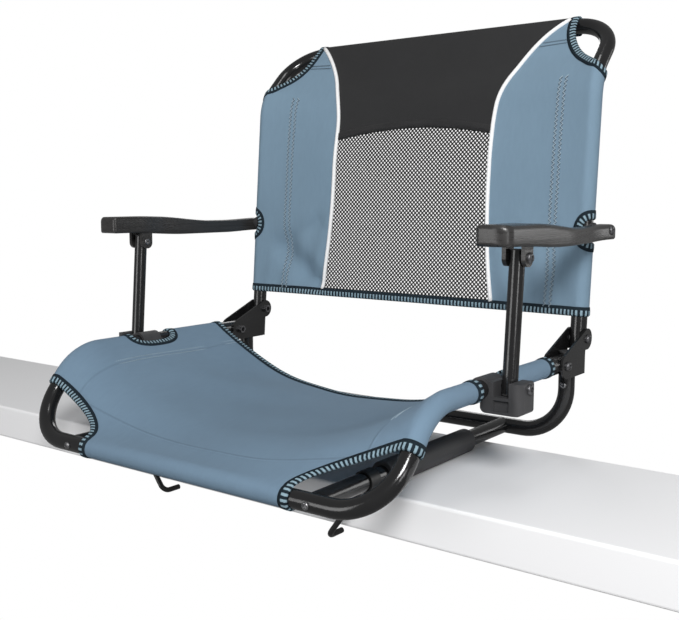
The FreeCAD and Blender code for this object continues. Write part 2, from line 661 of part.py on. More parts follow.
# Row frame: origin on the floor under the middle of the part's box
front_reach = max(sleeve_r, tube_r + small_head_h)
middle_y = (top_bar.y + sleeve_r - front_reach) / 2
shift = Vector(0, -middle_y, hook_drop)
for name, shape in nodes.items():
    shape.translate(shift)
    valid = all(solid.isValid() and solid.isClosed() for solid in shape.Solids)
    print(name, len(shape.Solids), "solids", round(shape.Volume), "mm3", "" if valid else "NOT VALID")
    shape.exportStep("parts/" + name + ".step")
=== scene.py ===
"""Dressed model of a folding stadium seat: cloth, trim, finishes, light and camera."""
import json
import logging
import math
from abc import ABC, abstractmethod
from dataclasses import dataclass, field, replace
from enum import Enum
from functools import partial
from itertools import product
from typing import Any, Callable, Iterable, Optional, Sequence

import bmesh
import bpy
from mathutils import Euler, Matrix, Vector, noise


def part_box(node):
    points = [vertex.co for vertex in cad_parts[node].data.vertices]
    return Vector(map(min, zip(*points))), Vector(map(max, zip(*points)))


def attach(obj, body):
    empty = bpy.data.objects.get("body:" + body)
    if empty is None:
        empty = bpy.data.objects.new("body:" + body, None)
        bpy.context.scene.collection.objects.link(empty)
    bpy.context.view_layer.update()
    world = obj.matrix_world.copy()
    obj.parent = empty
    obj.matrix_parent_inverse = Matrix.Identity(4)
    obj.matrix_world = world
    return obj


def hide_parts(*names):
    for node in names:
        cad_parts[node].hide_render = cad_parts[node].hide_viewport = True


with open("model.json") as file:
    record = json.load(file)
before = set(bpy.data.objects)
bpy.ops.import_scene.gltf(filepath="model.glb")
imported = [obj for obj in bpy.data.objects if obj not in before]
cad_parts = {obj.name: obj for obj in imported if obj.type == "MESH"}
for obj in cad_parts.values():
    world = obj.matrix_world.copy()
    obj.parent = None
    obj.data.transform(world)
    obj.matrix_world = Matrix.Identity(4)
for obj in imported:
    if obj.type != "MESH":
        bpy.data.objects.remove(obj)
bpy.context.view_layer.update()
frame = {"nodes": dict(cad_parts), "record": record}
LOG = logging.getLogger("stadium_seat")
SIDES = {"left": -1.0, "right": 1.0}
QUARTER = math.pi / 2
SIDEWAYS = Vector((1, 0, 0))
UPWARDS = Vector((0, 0, 1))

Colour = tuple[float, float, float, float]
Points = list[Vector]
Line = Callable[[float], Points]
Mesh = bmesh.types.BMesh
Material = bpy.types.Material
Piece = bpy.types.Object


class Attr(str, Enum):
    """Names of the lengths, in metres, that cloth and tape carry on their points."""

    ALONG = "along"
    ACROSS = "across"


class Zone(Enum):
    """Stretches of a cloth's outline."""

    SLEEVE = "sleeve"
    NOTCH = "notch"
    CORNER = "corner"
    BAR = "bar"


Row = tuple[Zone, float]


# Shader maths


class Value:
    """A shader socket that takes part in Python arithmetic."""

    def __init__(self, shader: "Shader", socket: Any) -> None:
        """Wraps one output socket of a shader's tree."""
        self.shader = shader
        self.socket = socket

    def maths(self, operation: str, *others: Any, swap: bool = False) -> "Value":
        """Adds a Math node on this value and others, with the first of others in front if swapped."""
        operands = [others[0], self] if swap else [self, *others]
        return self.shader.node("ShaderNodeMath", {"operation": operation}, dict(enumerate(operands)))

    def __add__(self, other: Any) -> "Value":
        """Sum."""
        return self.maths("ADD", other)

    def __sub__(self, other: Any) -> "Value":
        """Difference."""
        return self.maths("SUBTRACT", other)

    def __rsub__(self, other: Any) -> "Value":
        """Difference from a number."""
        return self.maths("SUBTRACT", other, swap=True)

    def __mul__(self, other: Any) -> "Value":
        """Product."""
        return self.maths("MULTIPLY", other)

    def __gt__(self, other: Any) -> "Value":
        """1 where this value is the greater."""
        return self.maths("GREATER_THAN", other)

    def __lt__(self, other: Any) -> "Value":
        """1 where this value is the smaller."""
        return self.maths("LESS_THAN", other)

    __radd__ = __add__
    __rmul__ = __mul__

    def wave(self, pitch: float) -> "Value":
        """Sine between 0 and 1 that repeats at a pitch."""
        return (self * (2 * math.pi / pitch)).maths("SINE") * 0.5 + 0.5

    def absolute(self) -> "Value":
        """Size without sign."""
        return self.maths("ABSOLUTE")

    def larger(self, other: Any) -> "Value":
        """The larger of two values."""
        return self.maths("MAXIMUM", other)


@dataclass(frozen=True)
class Grain:
    """One noise over an object: its scale, its detail and its stretch along the axes."""

    scale: float
    detail: float = 3.0
    stretch: tuple[float, float, float] = (1.0, 1.0, 1.0)


class Shader:
    """A node material with a Principled surface."""

    def __init__(self, name: str) -> None:
        """Starts an empty material with its surface and output."""
        self.material = bpy.data.materials.new(name)
        self.material.use_nodes = True
        self.tree = self.material.node_tree
        self.tree.nodes.clear()
        self.surface = self.tree.nodes.new("ShaderNodeBsdfPrincipled")
        output = self.tree.nodes.new("ShaderNodeOutputMaterial")
        self.tree.links.new(self.surface.outputs[0], output.inputs["Surface"])

    def plug(self, socket: Any, value: Any) -> None:
        """Links a value to a socket, or sets the socket to a number or colour."""
        if isinstance(value, Value):
            self.tree.links.new(value.socket, socket)
        else:
            socket.default_value = value

    def node(self, kind: str, settings: Optional[dict] = None, inputs: Optional[dict] = None,
             output: Any = 0) -> Value:
        """Adds one node.

        Args:
            kind: the node's type.
            settings: properties of the node, set first.
            inputs: values or links by socket name or number.
            output: name or number of the output to return.

        Returns:
            The chosen output.
        """
        made = self.tree.nodes.new(kind)
        for key, value in (settings or {}).items():
            setattr(made, key, value)
        for key, value in (inputs or {}).items():
            self.plug(made.inputs[key], value)
        return Value(self, made.outputs[output])

    def length(self, attr: Attr) -> Value:
        """A length carried by the points of cloth or tape."""
        return self.node("ShaderNodeAttribute", {"attribute_name": attr.value}, output="Fac")

    def grain(self, grain: Grain) -> Value:
        """Noise over object coordinates."""
        spot = self.node("ShaderNodeTexCoord", output="Object")
        spot = self.node("ShaderNodeMapping", inputs={"Vector": spot, "Scale": grain.stretch})
        inputs = {"Vector": spot, "Scale": grain.scale, "Detail": grain.detail}
        return self.node("ShaderNodeTexNoise", inputs=inputs)

    def mix(self, factor: Any, first: Any, second: Any) -> Value:
        """Colour between two colours."""
        settings = {"data_type": "RGBA"}
        return self.node("ShaderNodeMix", settings, {0: factor, 6: first, 7: second}, output=2)

    def bump(self, height: Value, distance: float) -> Value:
        """Normal bent by a height."""
        inputs = {"Height": height, "Distance": distance, "Strength": 1.0}
        return self.node("ShaderNodeBump", inputs=inputs, output="Normal")

    def finish(self, **inputs: Any) -> Material:
        """Sets the surface's sockets by name, with _ for a space, and returns the material."""
        for key, value in inputs.items():
            self.plug(self.surface.inputs[key.replace("_", " ")], value)
        return self.material


def tone(red: float, green: float, blue: float) -> Colour:
    """Opaque colour in linear light."""
    return (red, green, blue, 1.0)


# Finishes


@dataclass(frozen=True)
class SolidFinish:
    """Coat, plastic, steel or rubber: a cloud between two colours, over a fine relief."""

    name: str
    colour: Colour
    pale: Colour
    roughness: float
    rough_rise: float
    cloud: Grain
    relief: Grain
    depth: float
    cloud_relief: float = 0.0
    metallic: float = 0.0
    specular: float = 0.5

    def make(self) -> Material:
        """Builds the material."""
        shader = Shader(self.name)
        cloud = shader.grain(self.cloud)
        return shader.finish(
            Base_Color=shader.mix(cloud, self.colour, self.pale),
            Roughness=self.roughness + self.rough_rise * cloud,
            Normal=shader.bump(shader.grain(self.relief) + cloud * self.cloud_relief, self.depth),
            Metallic=self.metallic,
            Specular_IOR_Level=self.specular)


@dataclass(frozen=True)
class ClothFinish:
    """Coated plain weave: crossing yarns, slub, slow colour drift, sewn ridges, a dull sheen and, where set,
    painted shade between the side seams.
    """

    name: str
    yarn: Colour
    shade: Colour
    pitch: float = 0.0009
    seam_at: float = 0.211
    seam_half: float = 0.0022
    front_seam: float = -0.034
    # Share of painted shade between the side seams.
    inner_shade: float = 0.0
    drift: Grain = Grain(9.0)
    slub: Grain = Grain(260.0, 4.0, (1.0, 0.25, 0.25))
    drift_share: float = 0.45
    slub_share: float = 0.35
    weave_share: float = 0.3
    ridge_share: float = 0.3
    slub_relief: float = 0.8
    ridge_relief: float = 2.5
    depth: float = 0.00022
    roughness: float = 0.72
    rough_rise: float = 0.12
    sheen: float = 0.03
    sheen_roughness: float = 0.4
    specular: float = 0.15

    def make(self) -> Material:
        """Builds the material."""
        shader = Shader(self.name)
        across = shader.length(Attr.ACROSS)
        along = shader.length(Attr.ALONG)
        turn = 2 * math.pi / self.pitch
        weave = (across * turn).maths("SINE") * (along * turn).maths("SINE") * 0.5 + 0.5
        slub = shader.grain(self.slub)
        aside = across.absolute()
        ridge = self.ridge(aside - self.seam_at).larger(self.ridge(along - self.front_seam)).larger(0.0)
        # Painted shade: inner_shade darkens the cloth between the side seams.
        inside = (aside < self.seam_at) * self.inner_shade
        tint = shader.grain(self.drift) * self.drift_share + slub * self.slub_share
        tint = tint + weave * self.weave_share - ridge * self.ridge_share - inside
        return shader.finish(
            Base_Color=shader.mix(tint, self.shade, self.yarn),
            Roughness=self.roughness + self.rough_rise * slub,
            Normal=shader.bump(weave + slub * self.slub_relief + ridge * self.ridge_relief, self.depth),
            Sheen_Weight=self.sheen,
            Sheen_Roughness=self.sheen_roughness,
            Specular_IOR_Level=self.specular)

    def ridge(self, away: Value) -> Value:
        """Height of a sewn line at a length away from it, below 0 past its edges."""
        return 1.0 - away.absolute() * (1 / self.seam_half)


@dataclass(frozen=True)
class TapeFinish:
    """Binding tape: a solid dark half and an outer half with pale cross stripes."""

    name: str = "striped_binding"
    dark: Colour = tone(0.009, 0.016, 0.023)
    dark_fuzz: Colour = tone(0.018, 0.029, 0.038)
    pale: Colour = tone(0.33, 0.46, 0.53)
    pale_fuzz: Colour = tone(0.20, 0.30, 0.365)
    pitch: float = 0.0052
    fill: float = 0.48
    wobble: float = 0.0009
    wobble_grain: Grain = Grain(350.0, 2.0)
    fuzz: Grain = Grain(1400.0)
    stripe_from: float = -0.1
    stripe_to: float = 0.62
    rib_pitch: float = 0.0010
    stripe_relief: float = 1.4
    rib_relief: float = 0.5
    fuzz_relief: float = 0.4
    depth: float = 0.0003
    roughness: float = 0.75
    rough_rise: float = 0.15
    specular: float = 0.12

    def make(self) -> Material:
        """Builds the material."""
        shader = Shader(self.name)
        along = shader.length(Attr.ALONG)
        across = shader.length(Attr.ACROSS)
        bent = along + shader.grain(self.wobble_grain) * self.wobble
        stripe = (bent * (1 / self.pitch)).maths("FRACT") < self.fill
        mask = stripe * ((across < self.stripe_to) * (across > self.stripe_from))
        fuzz = shader.grain(self.fuzz)
        dark = shader.mix(fuzz, self.dark, self.dark_fuzz)
        pale = shader.mix(fuzz, self.pale, self.pale_fuzz)
        relief = mask * self.stripe_relief + along.wave(self.rib_pitch) * self.rib_relief
        return shader.finish(
            Base_Color=shader.mix(mask, dark, pale),
            Roughness=self.roughness + self.rough_rise * fuzz,
            Normal=shader.bump(relief + fuzz * self.fuzz_relief, self.depth),
            Specular_IOR_Level=self.specular)


@dataclass(frozen=True)
class ThreadFinish:
    """Twisted thread or corded piping."""

    name: str
    colour: Colour
    shade: Colour
    twist: float = 0.0016
    lay_share: float = 0.4
    fuzz: Grain = Grain(900.0)
    fuzz_share: float = 0.5
    depth: float = 0.00015
    roughness: float = 0.62
    rough_rise: float = 0.2

    def make(self) -> Material:
        """Builds the material."""
        shader = Shader(self.name)
        lay = (shader.length(Attr.ALONG) + shader.length(Attr.ACROSS) * self.twist).wave(self.twist)
        fuzz = shader.grain(self.fuzz)
        tint = lay * self.lay_share + fuzz * self.fuzz_share
        return shader.finish(Base_Color=shader.mix(tint, self.shade, self.colour),
                             Roughness=self.roughness + self.rough_rise * fuzz,
                             Normal=shader.bump(lay + fuzz, self.depth))


class Finishes:
    """All finishes of the seat, made once; those of solids are named after the record's slots."""

    def __init__(self) -> None:
        """Makes each material."""
        coat = SolidFinish("black_powder_coat", tone(0.007, 0.007, 0.0075), tone(0.015, 0.015, 0.0155),
                           roughness=0.10, rough_rise=0.12, cloud=Grain(24.0), relief=Grain(900.0, 1.0),
                           depth=0.00006, specular=0.62)
        plastic = SolidFinish("socket_plastic", tone(0.028, 0.028, 0.030), tone(0.060, 0.060, 0.063),
                              roughness=0.5, rough_rise=0.16, cloud=Grain(3.0, 4.0, (30.0, 30.0, 12.0)),
                              relief=Grain(1500.0, 2.0), depth=0.00008, cloud_relief=0.5)
        steel = SolidFinish("blackened_screw", tone(0.05, 0.05, 0.052), tone(0.20, 0.20, 0.21),
                            roughness=0.32, rough_rise=0.2, cloud=Grain(420.0, 5.0),
                            relief=Grain(1800.0, 1.0), depth=0.00004, metallic=0.9)
        rubber = SolidFinish("stop_rubber", tone(0.016, 0.016, 0.016), tone(0.04, 0.04, 0.041),
                             roughness=0.7, rough_rise=0.2, cloud=Grain(160.0), relief=Grain(700.0),
                             depth=0.0001)
        self.black_coat = coat.make()
        self.hook_steel = replace(coat, name="dipped_wire", roughness=0.38).make()
        self.arm_plastic = replace(plastic, name="armrest_plastic", colour=tone(0.014, 0.0135, 0.0135),
                                   pale=tone(0.050, 0.048, 0.047), roughness=0.20,
                                   cloud=Grain(3.0, 4.0, (50.0, 1.5, 110.0)), cloud_relief=1.6).make()
        self.socket_plastic = plastic.make()
        self.trim_plastic = replace(plastic, name="trim_plastic", colour=tone(0.022, 0.022, 0.023),
                                    roughness=0.52, cloud=Grain(3.0, 4.0, (60.0, 4.0, 60.0))).make()
        self.dark_steel = steel.make()
        self.bright_steel = replace(steel, name="plated_screw", colour=tone(0.14, 0.14, 0.145),
                                    pale=tone(0.36, 0.36, 0.37), roughness=0.18).make()
        self.stop_rubber = rubber.make()
        self.blue_cloth = ClothFinish("blue_cloth", tone(0.232, 0.344, 0.448), tone(0.168, 0.252, 0.330),
                                      seam_at=1.0).make()
        # Painted shade: the seat cloth is the back's blue cloth made darker overall, for the seat lying face
        # up, and a little darker again between the side seams.
        self.seat_cloth = ClothFinish("seat_cloth", tone(0.205, 0.308, 0.415), tone(0.140, 0.212, 0.289),
                                      inner_shade=0.05).make()
        self.black_cloth = ClothFinish("black_cloth", tone(0.040, 0.040, 0.041), tone(0.021, 0.021, 0.022),
                                       seam_at=1.0).make()
        self.black_mesh = ThreadFinish("mesh_knit", tone(0.010, 0.010, 0.0105),
                                       tone(0.004, 0.004, 0.004)).make()
        self.tape = TapeFinish().make()
        self.piping = ThreadFinish("white_piping", tone(0.96, 0.96, 0.96), tone(0.88, 0.88, 0.88)).make()
        self.thread = ThreadFinish("blue_thread", tone(0.50, 0.62, 0.70), tone(0.32, 0.42, 0.50)).make()
        # Dark thread for the short top rows, and painted stitch shadow for the dark rows under the pale side
        # stitching.
        self.dark_thread = ThreadFinish("dark_thread", tone(0.075, 0.11, 0.14),
                                        tone(0.035, 0.055, 0.075)).make()

    def dress_nodes(self) -> None:
        """Assigns the finish of its slot to every node."""
        for entry in frame["record"]["subparts"]:
            node = frame["nodes"][entry["node"]]
            material = getattr(self, entry["material_slot"])
            if not node.data.materials:
                node.data.materials.append(material)
            for slot in node.material_slots:
                slot.material = material
            LOG.info("%s: %s", entry["node"], material.name)


# Mesh helpers


def smooth_step(value: float) -> float:
    """Soft ramp from 0 to 1."""
    value = min(1.0, max(0.0, value))
    return value * value * (3.0 - 2.0 * value)


def spread(first: float, last: float, count: int) -> list[float]:
    """Evenly spaced numbers, both ends included."""
    return [first + (last - first) * step / (count - 1) for step in range(count)]


def tangent(points: Points, index: int) -> Vector:
    """Way along a line of points at one of them."""
    return points[min(index + 1, len(points) - 1)] - points[max(index - 1, 0)]


def outward(mesh: Mesh) -> Mesh:
    """Turns a mesh's faces outwards and returns it."""
    bmesh.ops.recalc_face_normals(mesh, faces=mesh.faces)
    return mesh


def length_layers(mesh: Mesh) -> list:
    """Adds the along and across lengths to a mesh's points."""
    return [mesh.verts.layers.float.new(attr.value) for attr in Attr]


def make_object(name: str, mesh: Mesh, material: Material) -> Piece:
    """Turns a bmesh, freed here, into an object with one material."""
    data = bpy.data.meshes.new(name)
    mesh.to_mesh(data)
    mesh.free()
    data.materials.append(material)
    made = bpy.data.objects.new(name, data)
    bpy.context.scene.collection.objects.link(made)
    return made


def make_piece(name: str, mesh: Mesh, material: Material, body: str,
               replaced: Iterable[str] = ()) -> Piece:
    """Turns a bmesh into a named piece.

    Args:
        name: the piece's name.
        mesh: its shape, freed here.
        material: its finish.
        body: the body that it rides on.
        replaced: nodes that it stands for.

    Returns:
        The new object.
    """
    piece = make_object(name, mesh, material)
    piece.data.shade_smooth()
    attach(piece, body)
    if replaced:
        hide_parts(*replaced)
    LOG.info("%s: %d points on %s", name, len(piece.data.vertices), body)
    return piece


def thicken(piece: Piece, thickness: float) -> None:
    """Gives a sheet its thickness with a live modifier."""
    wall = piece.modifiers.new("thickness", "SOLIDIFY")
    wall.thickness = thickness
    wall.offset = 0.0


class Sweep:
    """Strands of closed section, each made by extruding its ring along a route."""

    def __init__(self, *fillers: Callable[["Sweep"], None]) -> None:
        """Starts a mesh with its two length layers and has each filler add its strands."""
        self.mesh = bmesh.new()
        self.along, self.across = length_layers(self.mesh)
        for fill in fillers:
            fill(self)

    def add(self, rings: Sequence[Points], across: Sequence[float]) -> None:
        """Adds one strand.

        Args:
            rings: the places of the section's points, ring by ring.
            across: the value that each point of a ring carries.
        """
        count = len(rings[0])
        verts = bmesh.ops.create_circle(self.mesh, cap_ends=False, segments=count, radius=1.0)["verts"]
        edges = self.loop_edges(verts)
        travelled = 0.0
        self.set_ring(verts, rings[0], across, travelled)
        bmesh.ops.holes_fill(self.mesh, edges=edges, sides=0)
        for before, ring in zip(rings, rings[1:]):
            grown = bmesh.ops.extrude_edge_only(self.mesh, edges=edges)
            fresh = {item for item in grown["geom"] if isinstance(item, bmesh.types.BMVert)}
            verts = [self.partner(vert, fresh) for vert in verts]
            edges = self.loop_edges(verts)
            travelled += (sum(ring, Vector()) - sum(before, Vector())).length / count
            self.set_ring(verts, ring, across, travelled)
        bmesh.ops.holes_fill(self.mesh, edges=edges, sides=0)

    def thread(self, points: Points, normals: Points, radius: float, sides: int) -> None:
        """Adds a round strand along points, turned by the tangent and a normal at each."""
        turns = [2 * math.pi * step / sides for step in range(sides)]
        rings = []
        for index, point in enumerate(points):
            ahead = tangent(points, index)
            side = ahead.cross(normals[index]).normalized()
            up = side.cross(ahead).normalized()
            rings.append([point + radius * (math.cos(turn) * side + math.sin(turn) * up) for turn in turns])
        self.add(rings, [step / sides for step in range(sides)])

    def loop_edges(self, verts: Sequence) -> list:
        """Edges that join a ring's points in order."""
        return [self.mesh.edges.get(pair) for pair in zip(verts, [*verts[1:], verts[0]])]

    @staticmethod
    def partner(vert: Any, fresh: set) -> Any:
        """The point of a new ring that was extruded from a point."""
        return next(edge.other_vert(vert) for edge in vert.link_edges if edge.other_vert(vert) in fresh)

    def set_ring(self, verts: Sequence, places: Points, across: Sequence[float], travelled: float) -> None:
        """Moves a ring's points to their places and writes their lengths."""
        for vert, spot, value in zip(verts, places, across):
            vert.co = spot
            vert[self.along] = travelled
            vert[self.across] = value


def cloth_mesh(columns: int, rows: int, place: Callable[[int, int], Optional[Vector]],
               lengths: Callable[[int, int], tuple[float, float]]) -> Mesh:
    """Makes a cloth sheet from a grid whose points are carried to their places.

    Args:
        columns: number of points across.
        rows: number of points along.
        place: gives the place of a column and row, or None where the cloth is cut away.
        lengths: gives the across and along lengths of a column and row.

    Returns:
        The shaped mesh.
    """
    mesh = bmesh.new()
    bmesh.ops.create_grid(mesh, x_segments=columns - 1, y_segments=rows - 1, size=1.0)
    along, across = length_layers(mesh)
    gone = []
    for vert in mesh.verts:
        column = round((vert.co.x + 1) / 2 * (columns - 1))
        row = round((vert.co.y + 1) / 2 * (rows - 1))
        spot = place(column, row)
        if spot is None:
            gone.append(vert)
            continue
        vert.co = spot
        vert[across], vert[along] = lengths(column, row)
    bmesh.ops.delete(mesh, geom=gone, context="VERTS")
    return outward(mesh)


@dataclass
class SidePath:
    """Line, arc and line in the side view, from a start over one rounded corner to an end."""

    start: Vector
    corner: Vector
    end: Vector
    radius: float

    def __post_init__(self) -> None:
        """Works out where the arc starts and ends."""
        back = (self.start - self.corner).normalized()
        ahead = (self.end - self.corner).normalized()
        half = back.angle(ahead) / 2
        reach = self.radius / math.tan(half)
        arc_start = self.corner + back * reach
        self.arc_end = self.corner + ahead * reach
        self.centre = self.corner + (back + ahead).normalized() * (self.radius / math.sin(half))
        self.first_spoke = (arc_start - self.centre).normalized()
        self.last_spoke = (self.arc_end - self.centre).normalized()
        self.first = (arc_start - self.start).length
        self.second = self.first + self.radius * (math.pi - 2 * half)
        self.length = self.second + (self.end - self.arc_end).length
        self.heading = -back
        self.leaving = ahead

    def at(self, distance: float) -> tuple[Vector, Vector]:
        """Place and unit heading at a distance from the start."""
        if distance <= self.first:
            return self.start + self.heading * distance, self.heading.copy()
        if distance >= self.second:
            return self.arc_end + self.leaving * (distance - self.second), self.leaving.copy()
        share = (distance - self.first) / (self.second - self.first)
        spoke = self.first_spoke.slerp(self.last_spoke, share)
        return self.centre + spoke * self.radius, self.heading.slerp(self.leaving, share)


# Cloth and its trim


@dataclass
class Layout:
    """Sizes of the tube frame, in metres, and the two planes that place it in the row."""

    tube_radius: float = 0.009525
    cloth_radius: float = 0.0106
    rail_x: float = 0.255
    rail_height: float = 0.102
    front_slope: float = math.radians(52.0)
    rail_bend: float = 0.070
    recline: float = math.radians(4.5)
    hinge_y: float = 0.4065
    hinge_height: float = 0.125
    back_bend_up: float = 0.311
    top_slope: float = math.radians(45.0)
    top_run: float = 0.100
    back_bend: float = 0.070
    front_y: float = field(init=False)
    bench_z: float = field(init=False)
    bar_height: float = field(init=False)

    def __post_init__(self) -> None:
        """Reads the frame's place from its nodes."""
        low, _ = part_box("seat_frame")
        foot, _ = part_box("left_foot_sleeve")
        self.front_y = low[1] + self.tube_radius
        self.bench_z = foot[2]
        self.bar_height = low[2] + self.tube_radius - self.bench_z

    def spot(self, x: float, y: float, z: float) -> Vector:
        """Row place of a point given from the front bar's axis and the bench."""
        return Vector((x, y + self.front_y, z + self.bench_z))

    def rail_path(self, rear_y: float) -> SidePath:
        """Seat rail's axis from the rear edge of the cloth down to the front bar."""
        bend_y = (self.rail_height - self.bar_height) / math.tan(self.front_slope)
        return SidePath(self.spot(0, rear_y, self.rail_height), self.spot(0, bend_y, self.rail_height),
                        self.spot(0, 0, self.bar_height), self.rail_bend)

    def back_path(self, hem_height: float) -> SidePath:
        """Back tube's axis from the hem up over the bend to the top bar."""
        lean = Vector((0, math.sin(self.recline), math.cos(self.recline)))
        slope = Vector((0, math.sin(self.top_slope), math.cos(self.top_slope)))
        hinge = self.spot(0, self.hinge_y, self.hinge_height)
        bend = hinge + lean * self.back_bend_up
        start = hinge + lean * ((hem_height - self.hinge_height) / math.cos(self.recline))
        return SidePath(start, bend, bend + slope * self.top_run, self.back_bend)


@dataclass
class Trim:
    """Tape folded over the edges of the cloth."""

    tape_width: float = 0.0105
    tape_half: float = 0.0017
    tape_wraps: tuple = ((1.0, 0.7), (0.55, 1.0), (0.1, 1.0), (-0.08, 0.0), (0.1, -1.0), (0.55, -1.0),
                         (1.0, -0.7))

    def bind(self, sweep: Sweep, line: Line) -> None:
        """Adds one length of binding.

        Args:
            sweep: takes the tape.
            line: gives the points along the edge, or on a line that far inside it.
        """
        edge = line(0.0)
        inner = line(self.tape_width)
        rings = []
        for index, point in enumerate(edge):
            inward = (inner[index] - point).normalized() * self.tape_width
            normal = tangent(edge, index).cross(inward).normalized() * self.tape_half
            rings.append([point + inward * share + normal * lift for share, lift in self.tape_wraps])
        sweep.add(rings, [share for share, _ in self.tape_wraps])


@dataclass(frozen=True)
class Stitch:
    """Zigzag row of thread: its swing, height over the cloth, radius, number of points and sides."""

    swing: float
    lift: float
    radius: float
    count: int
    sides: int = 5

    def swings(self) -> list[float]:
        """Sideways move of each point."""
        return [self.swing if number % 2 else -self.swing for number in range(self.count)]

    def sew(self, sweep: Sweep, points: Points, normals: Points) -> None:
        """Adds a row of thread along points."""
        sweep.thread(points, normals, self.radius, self.sides)


@dataclass
class Sling(ABC):
    """Cloth with sleeves round two side tubes, made in rows along the tubes' path."""

    layout: Layout
    trim: Trim
    face: float = 1.0
    leave: float = 0.0
    wrap_turn: float = math.pi
    wrap_columns: int = 18
    flap_columns: int = 4
    thickness: float = 0.0011
    path: SidePath = field(init=False)
    rows: list[Row] = field(init=False)

    def face_at(self, distance: float) -> Vector:
        """Unit vector out of the cloth's face at a distance along the path."""
        heading = self.path.at(distance)[1]
        return self.face * Vector((0, -heading.z, heading.y))

    def sleeve_point(self, distance: float, turn: float, sign: float) -> Vector:
        """Point on a side sleeve, by the turn outwards from the cloth's face."""
        out = math.cos(turn) * self.face_at(distance) + math.sin(turn) * sign * SIDEWAYS
        tube = self.path.at(distance)[0] + sign * self.layout.rail_x * SIDEWAYS
        return tube + out * self.layout.cloth_radius

    def ring(self, distance: float, turns: Sequence[float], sign: float) -> Points:
        """Points round a sleeve at one distance."""
        return [self.sleeve_point(distance, turn, sign) for turn in turns]

    def around(self, distance: float, turn: float, sign: float) -> Optional[Vector]:
        """Point of the sleeve's cloth, or None where it is cut away."""
        return self.sleeve_point(distance, turn, sign)

    @abstractmethod
    def flap_end(self, distance: float, sign: float) -> Vector:
        """Place under the cloth where the sleeve's flap is sewn on."""

    @abstractmethod
    def hem_line(self, inset: float) -> Points:
        """Points of the edge across the path's start, or of a line inside it."""

    @abstractmethod
    def notch_line(self, sign: float, inset: float) -> Points:
        """Points of the edge that leaves one sleeve open, or of a line inside it."""

    @abstractmethod
    def corner_line(self, sign: float, inset: float) -> Points:
        """Points of the edge round one corner, or of a line inside it."""

    def bind(self, sweep: Sweep) -> None:
        """Binds every cut edge."""
        self.trim.bind(sweep, self.hem_line)
        for sign, line in product(SIDES.values(), (self.notch_line, self.corner_line)):
            self.trim.bind(sweep, partial(line, sign))

    def wrapped(self, distance: float, beyond: int, sign: float) -> Optional[Vector]:
        """Point of the sleeve by its column past the sheet, with the last columns in the flap."""
        round_tube = self.wrap_columns - self.flap_columns
        turn = -self.leave + (self.wrap_turn + self.leave) * min(beyond, round_tube) / round_tube
        point = self.around(distance, turn, sign)
        if point is None or beyond <= round_tube:
            return point
        return point.lerp(self.flap_end(distance, sign), (beyond - round_tube) / self.flap_columns)


# Seat


